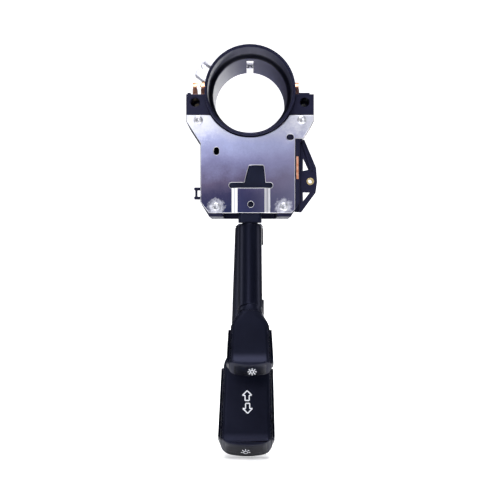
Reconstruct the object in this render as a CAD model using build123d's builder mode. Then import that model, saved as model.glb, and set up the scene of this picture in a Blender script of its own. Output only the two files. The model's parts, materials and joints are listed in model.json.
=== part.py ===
"""Combination stalk switch: a clamp-on column housing with a turn lever and a light lever.

The column axis lies along Y and the driver is on the -Y side. The origin is on the column axis,
at the front mouth of the clamped bore. X runs across the housing and +Z points away from the
levers, which hang down. All sizes are in millimetres.
"""
from build123d import *
from math import cos, radians, sin, tan
import os

# ---------------------------------------------------------------- collar
bore_radius = 21.0
collar_reach = 15.0
recess_radius = 23.4
recess_depth = 13.0
cone_length = 4.0
rim_radius = 25.0
collar_rear_radius = 23.4
rim_chamfer = 0.6
slot_width = 4.0
slot_length = 29.0
skirt_radius = 27.0
skirt_rise = 1.6

# ---------------------------------------------------------------- housing
plate_setback = 3.0
plate_thickness = 1.2
housing_depth = 30.8
wall = 2.6
rear_wall = 3.0
body_half_width = 27.5
lug_reach = 7.8
lug_top_z = -1.6
wing_z = -16.7
waist_z = -28.8
corner_z = -61.3
corner_cut = 4.9
housing_bottom_z = -69.3
cavity_top_z = -26.4
mouth_half_width = 15.0
lug_hole_inset = 5.05
lug_hole_z = -6.0
lug_hole_radius = 1.6
lug_counterbore_radius = 2.6
lug_counterbore_depth = 12.0
insert_radius = 2.5
insert_length = 10.0
insert_rise = 0.3
lug_boss_radius = 3.4
lug_boss_rise = 1.2
lug_pad_rise = 0.8
lug_pad_length = 11.0
# each pad: its side, its middle in from the lug's end, its width
lug_pads = ((1, 5.3, 6.0), (-1, 1.6, 1.8))
boss_radius = 3.2
cavity_corner = 1.0
fit_gap = 0.02
edge_gap = 0.1
overcut = 5.0
rear_edge = 0.6
platform_rise = 1.0
platform_top_z = -49.2
platform_margin = 1.4
pocket_depth = 1.6
# each pocket: X, Z, width, height
rear_pockets = (
    (15.8, -46.8, 5.3, 4.2),
    (22.3, -47.0, 6.0, 3.8),
    (-8.1, -44.6, 8.8, 2.9),
    (-8.1, -47.0, 4.6, 3.4),
)
blind_holes = ((9.6, -43.7), (-16.5, -24.5))
blind_hole_radius = 1.3

# ---------------------------------------------------------------- cover plate
plate_gap = 0.6
plate_top_z = -13.4
plate_left_inset = 0.3
plate_right_inset = 2.7
plate_wing_inset = 0.3
plate_bottom_z = -67.3
tongue_left_x = -6.9
tongue_right_x = 7.9
tongue_flank = 3.2
tongue_rise = 1.5
tongue_top_z = -53.6
cover_screw_radius = 1.5
cover_head_radius = 2.5
cover_head_height = 1.6
cover_screw_length = 9.0
high_screw_outset = 1.0
high_screw_z = -16.3
low_screw_inset = 4.0
low_screw_z = -64.0
plate_nick = 2.0
window_centre_x = 0.5
window_width = 24.2
window_bar = 3.1
window_left_x = -0.6
window_right_x = 7.7
window_top_z = -40.9
window_left_flare = 3.0
window_right_flare = 1.0
window_corner = 1.2
oval_left_inset = 8.7
oval_left_z = -33.2
oval_left_length = 4.4
oval_left_width = 3.1
oval_right_inset = 2.6
oval_right_z = -25.5
oval_right_length = 4.1
oval_right_width = 3.3
tongue_hole = (0.4, -62.6)
tongue_hole_radius = 1.65

# ---------------------------------------------------------------- clamp
band_thickness = 0.9
band_width = 10.0
band_setback = 7.0
ear_angle = 36.0
ear_gap = 8.0
ear_length = 13.2
ear_thickness = 1.2
ear_lip = 2.6
clamp_screw_radius = 1.9
clamp_screw_distance = 28.0
clamp_head_radius = 3.4
clamp_head_height = 3.6
clamp_driver_depth = 2.2
clamp_screw_overhang = 1.5
clamp_nut_width = 6.6
clamp_nut_height = 3.0

# ---------------------------------------------------------------- levers inside the housing
spindle_z = -38.6
spindle_radius = 2.5
running_clearance = 0.05
hub_radius = 6.4
layer_gap = 0.5
light_layer = 13.2
divider_thickness = 1.6
light_neck_width = 13.0
light_neck_depth = 9.4
light_neck_offset = -0.3
light_neck_corner = 2.0
light_shoulder_z = -59.0
light_neck_top_z = -60.0
turn_arm_width = 9.0
turn_arm_depth = 7.0
fork_clearance = 0.3
pivot_z = -57.0
pivot_pin_radius = 1.5
plunger_radius = 1.8
plunger_seat = 9.0
plunger_length = 5.0
plunger_tip_gap = 0.1
plunger_tip_chamfer = 1.0
detent_spring_length = 4.5
spring_wire_radius = 0.35
notch_width = 1.4
spring_turns = 2
notch_depth = 0.5
turn_swing = 10.0
light_swing = 9.0
spindle_seat = 2.0
yoke_half_width = 13.5
yoke_top_z = -47.0
yoke_bottom_z = -56.0
fork_half_width = 9.2
fork_shoulder_z = -58.0
fork_top_z = -50.5
fork_end_z = -62.5
arm_eye_radius = 4.2
arm_shoulder_z = -72.5
arm_shoulder_width = 13.0
arm_shoulder_depth = 12.0
arm_shoulder_offset = 2.5
arm_shoulder_corner = 1.5
bridge_x = 8.8
bridge_z = -51.5
bridge_length = 6.0
bridge_width = 2.6
bridge_thickness = 0.4
shelf_z = -30.8
shelf_thickness = 1.0
shelf_width = 10.0
shelf_length = 10.0
pawl_width = 5.0
pawl_depth = 4.0
pawl_tip_z = -22.6
pawl_foot_width = 8.0
pawl_foot_height = 1.3
pawl_tip_chamfer = 1.0
pawl_spring_radius = 1.6
slide_gap = 0.2

# ---------------------------------------------------------------- light lever
light_tilt = 12.0
light_top_offset = -0.8
light_top_z = -73.7
light_length = 47.3
light_top_radius = 6.5
light_end_radius = 6.8
light_core_radius = 4.4
light_core_length = 30.0
light_core_root = 4.0
light_neck_end_z = -72.4
light_paddle_tilt = 26.0
light_paddle_width = 26.3
light_paddle_length = 34.7
light_shoulder = 11.4
light_blade = 11.0
light_tip_thickness = 7.5
light_end_corner = 5.0

# ---------------------------------------------------------------- turn lever
turn_tilt = 5.0
turn_top_offset = 4.0
turn_top_z = -74.2
turn_length = 68.9
turn_lean = 0.75
turn_top_radius = 8.2
turn_end_radius = 9.7
turn_core_radius = 6.0
turn_paddle_tilt = 24.0
turn_paddle_width = 32.3
turn_paddle_length = 59.6
turn_shoulder = 13.0
turn_blade = 13.0
turn_tip_thickness = 9.0
turn_end_corner = 9.0
turn_core_length = 59.0
turn_core_root = 2.0
core_bar = 7.0
first_rib = 2.6
rib_thickness = 1.0
rib_pitch = 7.8
rib_count = 5
side_slot_x = 5.7
side_slot_width = 1.9
channel_width = 4.8
channel_length = 34.6
key_clearance = 0.3
key_start = 12.0
key_reach = 7.2
relief_start = 10.5
relief_length = 32.0
relief_depth = 0.9
sleeve_chamfer = 0.9
seam_tilt = 30.0
end_face_tilt = 137.0
end_sagitta = 2.6
neck_straight = 1.0
round_margin = 0.01
flare_steps = 4
blade_corner = 2.8
tip_corner = 3.0
side_step = 1.3
blade_spread = 2.8
waistband = 4.0
waistband_corner = 0.6
spigot_length = 8.0
spigot_root = 3.0

# ---------------------------------------------------------------- connector
large_pin_radius = 1.95
large_pin_foot_radius = 2.7
large_pin_foot_height = 1.4
large_pin_pitch = 7.9
large_pin_columns = 3
small_pin_radius = 1.25
small_pin_pitch = 6.95
small_pin_columns = 4
pin_row_pitch = 7.0
pin_length = 9.9
large_pin_inset = 4.9
pin_group_pitch = 8.3
pin_row_z = -53.8
pin_shank_width = 1.4
shank_length = 2.0
rivet_head_radius = 1.5
rivet_head_height = 0.7
strip_width = 2.2
strip_height = 2.6
strip_rise = 0.8
tab_width = 2.2
tab_rise = 0.9
strip_insets = (8.7, 16.7, 24.9, 32.5, 39.4, 46.4)
rivets_at = (
    (20.4, -29.4),
    (20.4, -33.0),
    (15.9, -35.6),
    (9.4, -36.2),
    (21.4, -43.2),
    (12.9, -29.0),
    (4.9, -46.3),
    (-14.6, -44.6),
    (-15.1, -47.5),
    (-11.6, -36.7),
    (-17.6, -30.3),
    (-21.6, -30.0),
    (-21.1, -34.6),
)
# each tab: X, Z, long side, turn in degrees
tabs_at = (
    (-1.1, -42.0, 5.0, 20.0),
    (-9.1, -31.2, 3.4, 65.0),
    (9.4, -30.8, 3.4, 100.0),
    (-12.8, -29.0, 3.4, 35.0),
)

# ---------------------------------------------------------------- small parts outside the housing
# each contact: its side, its middle in from the lug's end
column_contact_rows = ((-1, 3.7), (-1, 8.5), (1, 8.5))
column_contact_width = 3.0
curl_sheet = 0.6
curl_setback = 14.8
curl_foot = 3.6
curl_height = 4.2
curl_radius = 1.8
curl_lip = 2.2
bracket_setback = 3.8
bracket_thickness = 2.2
bracket_top_z = -26.2
bracket_lip = 1.2
# the bracket's corners: out from the housing's side, Z
bracket_outline = ((9.4, -41.8), (10.0, -49.6), (9.1, -55.8), (1.1, -66.7))
bracket_windows = (
    ((2.1, -36.4), (2.0, -43.6), (5.1, -42.9)),
    ((2.0, -55.6), (5.9, -55.6), (2.1, -60.4)),
)
bracket_rib = ((1.3, -28.2), (3.1, -28.2), (7.9, -43.5), (6.1, -43.5))
bracket_rib_rise = 0.8
flange_depth = 14.0
flange_thickness = 1.5
bush_outset = 6.1
bush_z = -49.4
bush_radius = 2.0
bush_bore_radius = 1.1
bush_length = 4.0
clip_setback = 10.8
clip_z = -55.6
clip_reach = 4.2
clip_height = 6.8
clip_depth = 3.0
clip_wall = 1.6
clip_hook = 1.2
side_strip_inset = 1.3
side_strip_z = -42.3
side_strip_width = 1.2
side_strip_length = 12.4
side_strip_thickness = 0.5

# ---------------------------------------------------------------- places worked out from the sizes
front_y = -(recess_depth + cone_length)
plate_front_y = front_y + plate_setback
housing_front_y = plate_front_y + plate_thickness
housing_rear_y = housing_front_y + housing_depth
rear_y = housing_rear_y + collar_reach
band_centre_y = housing_rear_y + band_setback
lug_half_width = body_half_width + lug_reach
corner_x = body_half_width - corner_cut
lug_hole_x = lug_half_width - lug_hole_inset
plate_left_x = plate_left_inset - body_half_width
plate_right_x = body_half_width - plate_right_inset
plate_wing_x = lug_half_width - plate_wing_inset
high_screw_x = body_half_width + high_screw_outset
low_screw_x = corner_x - low_screw_inset
oval_left = (plate_left_x + oval_left_inset, oval_left_z)
oval_right = (plate_right_x - oval_right_inset, oval_right_z)
cavity_rear_y = housing_rear_y - rear_wall
divider_front_y = housing_front_y + light_layer
divider_rear_y = divider_front_y + divider_thickness
light_front_y = housing_front_y + layer_gap
light_rear_y = divider_front_y - layer_gap
turn_front_y = divider_rear_y + layer_gap
turn_rear_y = cavity_rear_y - layer_gap
pivot_y = (turn_front_y + turn_rear_y) / 2
arm_shoulder_y = pivot_y + arm_shoulder_offset
turn_top_y = pivot_y + turn_top_offset
light_middle_y = (light_front_y + light_rear_y) / 2
light_neck_y = light_middle_y + light_neck_offset
light_top_y = light_middle_y + light_top_offset
curl_y = housing_front_y + curl_setback
clip_y = housing_front_y + clip_setback
bracket_y = housing_front_y + bracket_setback
bush_at = (body_half_width + bush_outset, bush_z)
side_strip_x = body_half_width - side_strip_inset
cavity_depth = cavity_rear_y - housing_front_y
cavity_half_width = body_half_width - wall
cavity_bottom_z = housing_bottom_z + wall
platform_y = housing_rear_y + platform_rise
lug_face_y = housing_rear_y + lug_boss_rise
curl_base_z = lug_top_z + curl_sheet / 2
spring_end = spring_wire_radius + 2 * fit_gap
wing_slope = (lug_half_width - body_half_width) / (wing_z - waist_z)
bracket_top_x = body_half_width + wing_slope * (bracket_top_z - waist_z)
bracket_bottom_z = bracket_outline[-1][1]
light_tip_y = divider_front_y - plunger_tip_gap
turn_tip_y = cavity_rear_y - plunger_tip_gap
pawl_foot_z = cavity_top_z - edge_gap - slide_gap
pawl_rear_y = front_y + recess_depth - slide_gap
first_large_pin_x = body_half_width - large_pin_inset
first_small_pin_x = first_large_pin_x - (large_pin_columns - 1) * large_pin_pitch - pin_group_pitch
strips_x = [body_half_width - inset for inset in strip_insets]
column_contacts_x = [side * (lug_half_width - inset) for side, inset in column_contact_rows]
lug_holes = ((-lug_hole_x, lug_hole_z), (lug_hole_x, lug_hole_z))
high_screws = ((-high_screw_x, high_screw_z), (high_screw_x, high_screw_z))
low_screws = ((-low_screw_x, low_screw_z), (low_screw_x, low_screw_z))
pin_rows_z = (pin_row_z, pin_row_z - pin_row_pitch)
large_pins_x = [first_large_pin_x - i * large_pin_pitch for i in range(large_pin_columns)]
small_pins_x = [first_small_pin_x - i * small_pin_pitch for i in range(small_pin_columns)]
large_pins_at = [(x, z) for x in large_pins_x for z in pin_rows_z]
small_pins_at = [(x, z) for x in small_pins_x for z in pin_rows_z]


def facing_front(y):
    """A plane across the column at depth y, seen by the driver: X to the right, Z up."""
    return Plane.XZ.offset(-y)


def across_lever(top, tilt, lean):
    """A plane square to a lever that hangs from a point, tilted to the driver and leaning to -X."""
    forward, aside = radians(tilt), radians(lean)
    down = (-sin(aside) * cos(forward), -sin(forward), -cos(aside) * cos(forward))
    return Plane(origin=top, x_dir=(cos(aside), 0, -sin(aside)), z_dir=down)


def detent_places(swing):
    """Where a plunger stands over its notches: at one limit, in the middle, at the other."""
    return [
        (plunger_seat * sin(radians(turn)), spindle_z - plunger_seat * cos(radians(turn)))
        for turn in (-swing, 0, swing)
    ]


def beside_housing(corners):
    """Corners given out from the housing's +X side, moved to where that side is."""
    return [(body_half_width + out, z) for out, z in corners]


def save(piece, label):
    piece.label = label
    export_step(piece, f"parts/{label}.step")


turn_top_x = (turn_top_z - spindle_z) * tan(radians(turn_lean))
light_plane = across_lever((0, light_top_y, light_top_z), light_tilt, 0)
turn_plane = across_lever((turn_top_x, turn_top_y, turn_top_z), turn_tilt, turn_lean)
light_end = light_plane.from_local_coords(Vector(0, 0, light_length))
turn_end = turn_plane.from_local_coords(Vector(0, 0, turn_length))
light_seam = across_lever(light_end, seam_tilt, 0)
turn_seam = across_lever(turn_end, seam_tilt, turn_lean)
light_paddle_plane = across_lever(light_end, light_paddle_tilt, 0)
turn_paddle_plane = across_lever(turn_end, turn_paddle_tilt, turn_lean)
channel_plane = Plane(origin=turn_plane.origin, x_dir=turn_plane.x_dir, z_dir=-turn_plane.y_dir)

os.makedirs("parts", exist_ok=True)

# ---------------------------------------------------------------- housing with its collar
with BuildPart() as housing:
    with BuildSketch(facing_front(housing_rear_y)):
        with BuildLine():
            Polyline(
                (0, housing_bottom_z),
                (corner_x, housing_bottom_z),
                (body_half_width, corner_z),
                (body_half_width, waist_z),
                (lug_half_width, wing_z),
                (lug_half_width, lug_top_z),
                (0, lug_top_z),
            )
            mirror(about=Plane.YZ)
        make_face()
    extrude(amount=housing_depth)
    chamfer(housing.faces().sort_by(Axis.Y)[-1].edges(), rear_edge)
    with BuildSketch(facing_front(platform_y)):
        with BuildLine():
            Polyline(
                (0, housing_bottom_z + platform_margin),
                (corner_x - platform_margin, housing_bottom_z + platform_margin),
                (body_half_width - platform_margin, corner_z),
                (body_half_width - platform_margin, platform_top_z),
                (0, platform_top_z),
            )
            mirror(about=Plane.YZ)
        make_face()
    extrude(amount=platform_rise)
    with BuildSketch(facing_front(lug_face_y)):
        with Locations(*lug_holes):
            Circle(lug_boss_radius)
    extrude(amount=lug_boss_rise)
    for side, pad_inset, pad_width in lug_pads:
        with BuildSketch(Plane.XY.offset(lug_top_z)):
            with Locations((side * (lug_half_width - pad_inset), housing_front_y + lug_pad_length / 2)):
                Rectangle(pad_width, lug_pad_length)
        extrude(amount=lug_pad_rise)
    with BuildSketch(Plane.XY):
        with BuildLine():
            Polyline(
                (0, housing_rear_y),
                (skirt_radius, housing_rear_y),
                (collar_rear_radius, housing_rear_y + skirt_rise),
                (0, housing_rear_y + skirt_rise),
                close=True,
            )
        make_face()
    revolve(axis=Axis.Y, revolution_arc=180)
    with BuildSketch(Plane.XY):
        with BuildLine():
            Polyline(
                (0, front_y),
                (rim_radius, front_y),
                (rim_radius, 0),
                (collar_rear_radius, 0),
                (collar_rear_radius, rear_y),
                (0, rear_y),
                close=True,
            )
        make_face()
    revolve(axis=Axis.Y)
    with BuildSketch(facing_front(housing_front_y)):
        with BuildLine():
            Polyline(
                (0, cavity_top_z),
                (cavity_half_width, cavity_top_z),
                (cavity_half_width, corner_z + cavity_corner),
                (corner_x - cavity_corner, cavity_bottom_z),
                (0, cavity_bottom_z),
            )
            mirror(about=Plane.YZ)
        make_face()
    extrude(amount=-cavity_depth, mode=Mode.SUBTRACT)
    with BuildSketch(facing_front(cavity_rear_y)):
        with Locations(*low_screws):
            Circle(boss_radius)
    extrude(amount=cavity_depth)
    with BuildSketch(facing_front(housing_front_y)):
        with Locations((0, housing_bottom_z)):
            Rectangle(2 * mouth_half_width, 2 * overcut)
    extrude(amount=-cavity_depth, mode=Mode.SUBTRACT)
    with BuildSketch(Plane.XY):
        with BuildLine():
            Polyline(
                (0, front_y),
                (recess_radius + rim_chamfer, front_y),
                (recess_radius, front_y + rim_chamfer),
                (recess_radius, front_y + recess_depth),
                (bore_radius, 0),
                (bore_radius, rear_y),
                (0, rear_y),
                close=True,
            )
        make_face()
    revolve(axis=Axis.Y, mode=Mode.SUBTRACT)
    with BuildSketch(Plane.XY):
        with Locations((0, rear_y - slot_length / 2)):
            Rectangle(slot_width, slot_length)
    extrude(amount=rim_radius, mode=Mode.SUBTRACT)
    with BuildSketch(facing_front(housing_front_y)):
        with Locations(*lug_holes):
            Circle(lug_hole_radius)
    extrude(amount=-(housing_depth + lug_boss_rise), mode=Mode.SUBTRACT)
    with BuildSketch(facing_front(housing_front_y)):
        with Locations(*lug_holes):
            Circle(lug_counterbore_radius)
    extrude(amount=-lug_counterbore_depth, mode=Mode.SUBTRACT)
    with BuildSketch(facing_front(lug_face_y - insert_length)):
        with Locations(lug_holes[0]):
            Circle(insert_radius + fit_gap)
    extrude(amount=-insert_length, mode=Mode.SUBTRACT)
    with BuildSketch(facing_front(housing_front_y)):
        with Locations(*high_screws):
            Circle(cover_screw_radius + fit_gap)
    extrude(amount=-housing_depth, mode=Mode.SUBTRACT)
    with BuildSketch(facing_front(housing_front_y)):
        with Locations(*low_screws):
            Circle(cover_screw_radius + fit_gap)
    extrude(amount=-cover_screw_length, mode=Mode.SUBTRACT)
    with BuildSketch(facing_front(cavity_rear_y)):
        with Locations((0, spindle_z)):
            Circle(spindle_radius + fit_gap)
    extrude(amount=-spindle_seat, mode=Mode.SUBTRACT)
    with BuildSketch(facing_front(cavity_rear_y)):
        with Locations(*detent_places(turn_swing)):
            Rectangle(notch_width, notch_width)
    extrude(amount=-notch_depth, mode=Mode.SUBTRACT)
    with BuildSketch(facing_front(platform_y - shank_length)):
        with Locations(*large_pins_at, *small_pins_at):
            Rectangle(pin_shank_width + 2 * fit_gap, pin_shank_width + 2 * fit_gap)
    extrude(amount=-shank_length, mode=Mode.SUBTRACT)
    with BuildSketch(facing_front(housing_rear_y - pocket_depth)):
        for x, z, pocket_width, pocket_height in rear_pockets:
            with Locations((x, z)):
                Rectangle(pocket_width, pocket_height)
        with Locations(*blind_holes):
            Circle(blind_hole_radius)
    extrude(amount=-pocket_depth, mode=Mode.SUBTRACT)
    with BuildSketch(facing_front(front_y + recess_depth)):
        with Locations((0, cavity_top_z)):
            Rectangle(pawl_width + 2 * slide_gap, 2 * overcut)
    extrude(amount=pawl_depth + 2 * slide_gap, mode=Mode.SUBTRACT)
save(housing.part, "housing")

# ---------------------------------------------------------------- cover plate
with BuildSketch() as lever_window:
    with BuildLine():
        Polyline(
            (window_left_x, window_top_z),
            (window_right_x, window_top_z),
            (window_right_x + window_right_flare, tongue_top_z + window_bar / 2),
            (window_left_x - window_left_flare, tongue_top_z + window_bar / 2),
            close=True,
        )
    make_face()
    fillet(lever_window.vertices().sort_by(Axis.Y)[-2:], window_corner)
    with Locations((window_centre_x, tongue_top_z + window_bar / 2)):
        SlotOverall(window_width, window_bar)

with BuildPart() as cover_plate:
    with BuildSketch(facing_front(housing_front_y)):
        with BuildLine():
            Polyline(
                (-plate_wing_x, plate_top_z),
                (-plate_wing_x, wing_z),
                (plate_left_x, waist_z),
                (plate_left_x, corner_z),
                (-corner_x, plate_bottom_z),
                (plate_right_x - plate_nick, plate_bottom_z),
                (plate_right_x, plate_bottom_z + plate_nick),
                (plate_right_x, bracket_top_z),
                (bracket_top_x, bracket_top_z),
                (plate_wing_x, wing_z),
                (plate_wing_x, plate_top_z),
                close=True,
            )
        make_face()
        Circle(rim_radius + plate_gap, mode=Mode.SUBTRACT)
        with BuildLine():
            Polyline(
                (tongue_left_x - tongue_flank, tongue_top_z),
                (tongue_right_x + tongue_flank, tongue_top_z),
                (tongue_right_x + tongue_flank, plate_bottom_z - overcut),
                (tongue_left_x - tongue_flank, plate_bottom_z - overcut),
                close=True,
            )
        make_face(mode=Mode.SUBTRACT)
        add(lever_window.sketch_local, mode=Mode.SUBTRACT)
        with Locations(oval_left):
            SlotOverall(oval_left_length, oval_left_width, rotation=90, mode=Mode.SUBTRACT)
        with Locations(oval_right):
            SlotOverall(oval_right_length, oval_right_width, mode=Mode.SUBTRACT)
        with Locations(*high_screws, *low_screws):
            Circle(cover_screw_radius + fit_gap, mode=Mode.SUBTRACT)
    extrude(amount=plate_thickness)
    with BuildSketch(Plane.XY.offset(plate_bottom_z)):
        with BuildLine():
            Polyline(
                (tongue_left_x - tongue_flank, plate_front_y),
                (tongue_left_x, plate_front_y - tongue_rise),
                (tongue_right_x, plate_front_y - tongue_rise),
                (tongue_right_x + tongue_flank, plate_front_y),
                (tongue_right_x + tongue_flank, housing_front_y),
                (tongue_right_x, housing_front_y - tongue_rise),
                (tongue_left_x, housing_front_y - tongue_rise),
                (tongue_left_x - tongue_flank, housing_front_y),
                close=True,
            )
        make_face()
    extrude(amount=tongue_top_z - plate_bottom_z)
    with BuildSketch(facing_front(housing_front_y)):
        with Locations(tongue_hole):
            Circle(tongue_hole_radius)
    extrude(amount=2 * plate_thickness + tongue_rise, mode=Mode.SUBTRACT)
save(cover_plate.part, "cover_plate")

with BuildPart() as cover_screws:
    with BuildSketch(facing_front(plate_front_y)):
        with Locations(*high_screws, *low_screws):
            Circle(cover_head_radius)
    extrude(amount=cover_head_height)
    with BuildSketch(facing_front(plate_front_y)):
        with Locations(*high_screws, *low_screws):
            Circle(cover_screw_radius)
    extrude(amount=-cover_screw_length)
save(cover_screws.part, "cover_screws")

# ---------------------------------------------------------------- mounting lug insert
with BuildPart() as lug_insert:
    with BuildSketch(facing_front(lug_face_y - insert_length)):
        with Locations(lug_holes[0]):
            Circle(insert_radius)
            Circle(lug_hole_radius, mode=Mode.SUBTRACT)
    extrude(amount=-(insert_length + insert_rise))
save(lug_insert.part, "lug_insert")

# ---------------------------------------------------------------- clamp round the collar's rear end
clamp_plane = Plane(
    origin=(0, band_centre_y + band_width / 2, 0),
    x_dir=(-cos(radians(ear_angle)), 0, sin(radians(ear_angle))),
    z_dir=(0, -1, 0),
)
band_inner = collar_rear_radius + edge_gap
band_outer = band_inner + band_thickness
screw_axis_plane = Plane(
    origin=clamp_plane.from_local_coords((clamp_screw_distance, 0, band_width / 2)),
    x_dir=(0, 1, 0),
    z_dir=clamp_plane.y_dir,
)
ear_outer = ear_gap / 2 + ear_thickness

with BuildPart() as clamp_band:
    with BuildSketch(clamp_plane):
        Circle(band_outer)
        with Locations((band_outer + ear_length / 2 - band_thickness, 0)):
            Rectangle(ear_length + band_thickness, 2 * ear_outer)
        Circle(band_inner, mode=Mode.SUBTRACT)
        with Locations((band_outer + ear_length / 2, 0)):
            Rectangle(2 * ear_length, ear_gap, mode=Mode.SUBTRACT)
        lip_x = band_outer + ear_length - ear_thickness / 2
        lip_y = (ear_gap - ear_lip) / 2
        with Locations((lip_x, lip_y), (lip_x, -lip_y)):
            Rectangle(ear_thickness, ear_lip)
    extrude(amount=band_width)
    with BuildSketch(screw_axis_plane):
        Circle(clamp_screw_radius + fit_gap)
    extrude(amount=2 * ear_outer, both=True, mode=Mode.SUBTRACT)
save(clamp_band.part, "clamp_band")

with BuildPart() as clamp_screw:
    with BuildSketch(screw_axis_plane.offset(ear_outer)):
        Circle(clamp_head_radius)
    extrude(amount=clamp_head_height)
    with BuildSketch(screw_axis_plane.offset(ear_outer + clamp_head_height)):
        RegularPolygon(clamp_screw_radius, 6)
    extrude(amount=-clamp_driver_depth, mode=Mode.SUBTRACT)
    with BuildSketch(screw_axis_plane.offset(ear_outer)):
        Circle(clamp_screw_radius)
    extrude(amount=-(2 * ear_outer + clamp_nut_height + clamp_screw_overhang))
save(clamp_screw.part, "clamp_screw")

with BuildPart() as clamp_nut:
    with BuildSketch(screw_axis_plane.offset(-ear_outer)):
        RegularPolygon(clamp_nut_width / 2, 6, major_radius=False)
        Circle(clamp_screw_radius + fit_gap, mode=Mode.SUBTRACT)
    extrude(amount=-clamp_nut_height)
save(clamp_nut.part, "clamp_nut")

# ---------------------------------------------------------------- contacts on the rear face
def round_pins(places, radius, foot_radius, foot_height):
    """Plug pins with a square moulded-in shank and a foot on the plug platform."""
    with BuildPart() as pins:
        with BuildSketch(facing_front(platform_y - shank_length)):
            with Locations(*places):
                Rectangle(pin_shank_width, pin_shank_width)
        extrude(amount=-shank_length)
        with BuildSketch(facing_front(platform_y)):
            with Locations(*places):
                Circle(foot_radius)
        extrude(amount=-foot_height)
        if foot_radius > radius:
            with BuildSketch(facing_front(platform_y + foot_height)):
                with Locations(*places):
                    Circle(radius)
            extrude(amount=foot_height - pin_length)
    return pins.part


save(round_pins(large_pins_at, large_pin_radius, large_pin_foot_radius, large_pin_foot_height), "large_pins")
save(round_pins(small_pins_at, small_pin_radius, small_pin_radius, pin_length), "small_pins")

with BuildPart() as contact_rivets:
    with BuildSketch(facing_front(housing_rear_y)):
        with Locations(*rivets_at):
            Circle(rivet_head_radius)
    extrude(amount=-rivet_head_height)
save(contact_rivets.part, "contact_rivets")

with BuildPart() as contact_strips:
    with BuildSketch(facing_front(platform_y)):
        with Locations(*[(x, pin_row_z - pin_row_pitch / 2) for x in strips_x]):
            Rectangle(strip_width, strip_height)
    extrude(amount=-strip_rise)
save(contact_strips.part, "contact_strips")

with BuildPart() as terminal_tabs:
    with BuildSketch(facing_front(housing_rear_y)):
        for x, z, long_side, turn in tabs_at:
            with Locations(Location((x, z), turn)):
                Rectangle(long_side, tab_width)
    extrude(amount=-tab_rise)
save(terminal_tabs.part, "terminal_tabs")

# ---------------------------------------------------------------- contacts for the column ring
with BuildPart() as column_contacts:
    for x in column_contacts_x:
        with BuildSketch(Plane.YZ.offset(x - column_contact_width / 2)):
            with BuildLine():
                foot = Line((curl_y + curl_foot, curl_base_z), (curl_y, curl_base_z))
                rise = Line(foot @ 1, (curl_y, curl_base_z + curl_height))
                top = (curl_y + curl_radius, curl_base_z + curl_height + curl_radius)
                over = ThreePointArc(rise @ 1, top, (curl_y + 2 * curl_radius, (rise @ 1).Y))
                Line(over @ 1, (curl_y + 2 * curl_radius, curl_base_z + curl_lip))
            trace(line_width=curl_sheet)
        extrude(amount=column_contact_width)
save(column_contacts.part, "column_contacts")

# ---------------------------------------------------------------- side bracket, clip and strip
with BuildPart() as side_bracket:
    with BuildSketch(facing_front(bracket_y + bracket_thickness)):
        with BuildLine():
            Polyline(
                (body_half_width, waist_z),
                (bracket_top_x, bracket_top_z),
                (bracket_top_x + bracket_lip, bracket_top_z),
                *beside_housing(bracket_outline),
                (body_half_width, bracket_bottom_z),
                close=True,
            )
        make_face()
        with Locations(bush_at):
            Circle(bush_radius + fit_gap, mode=Mode.SUBTRACT)
        for window in bracket_windows:
            with BuildLine():
                Polyline(*beside_housing(window), close=True)
            make_face(mode=Mode.SUBTRACT)
    extrude(amount=bracket_thickness)
    with BuildSketch(facing_front(bracket_y)):
        with BuildLine():
            Polyline(*beside_housing(bracket_rib), close=True)
        make_face()
    extrude(amount=bracket_rib_rise)
    with BuildSketch(facing_front(bracket_y + flange_depth)):
        with Locations((body_half_width + flange_thickness / 2, (waist_z + corner_z) / 2)):
            Rectangle(flange_thickness, waist_z - corner_z)
    extrude(amount=flange_depth - bracket_thickness)
save(side_bracket.part, "side_bracket")

with BuildPart() as bracket_bush:
    with BuildSketch(facing_front(bracket_y + bush_length)):
        with Locations(bush_at):
            Circle(bush_radius)
            Circle(bush_bore_radius, mode=Mode.SUBTRACT)
    extrude(amount=bush_length)
save(bracket_bush.part, "bracket_bush")

with BuildPart() as side_clip:
    with BuildSketch(facing_front(clip_y + clip_depth)):
        with Locations((-body_half_width - clip_reach / 2, clip_z)):
            Rectangle(clip_reach, clip_height)
        with Locations((-body_half_width - (clip_reach - clip_hook) / 2, clip_z)):
            Rectangle(clip_reach - 2 * clip_hook, clip_height - 2 * clip_wall, mode=Mode.SUBTRACT)
        with Locations((-body_half_width - clip_reach, clip_z)):
            Rectangle(clip_hook, clip_height - 2 * clip_wall, mode=Mode.SUBTRACT)
    extrude(amount=clip_depth)
save(side_clip.part, "side_clip")

with BuildPart() as side_strip:
    with BuildSketch(facing_front(housing_front_y)):
        with Locations((side_strip_x, side_strip_z)):
            Rectangle(side_strip_width, side_strip_length)
    extrude(amount=side_strip_thickness)
save(side_strip.part, "side_strip")

# ---------------------------------------------------------------- spindle and divider
with BuildPart() as spindle:
    with BuildSketch(facing_front(cavity_rear_y + spindle_seat)):
        with Locations((0, spindle_z)):
            Circle(spindle_radius)
    extrude(amount=cavity_depth + spindle_seat - fit_gap)
save(spindle.part, "spindle")

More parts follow.
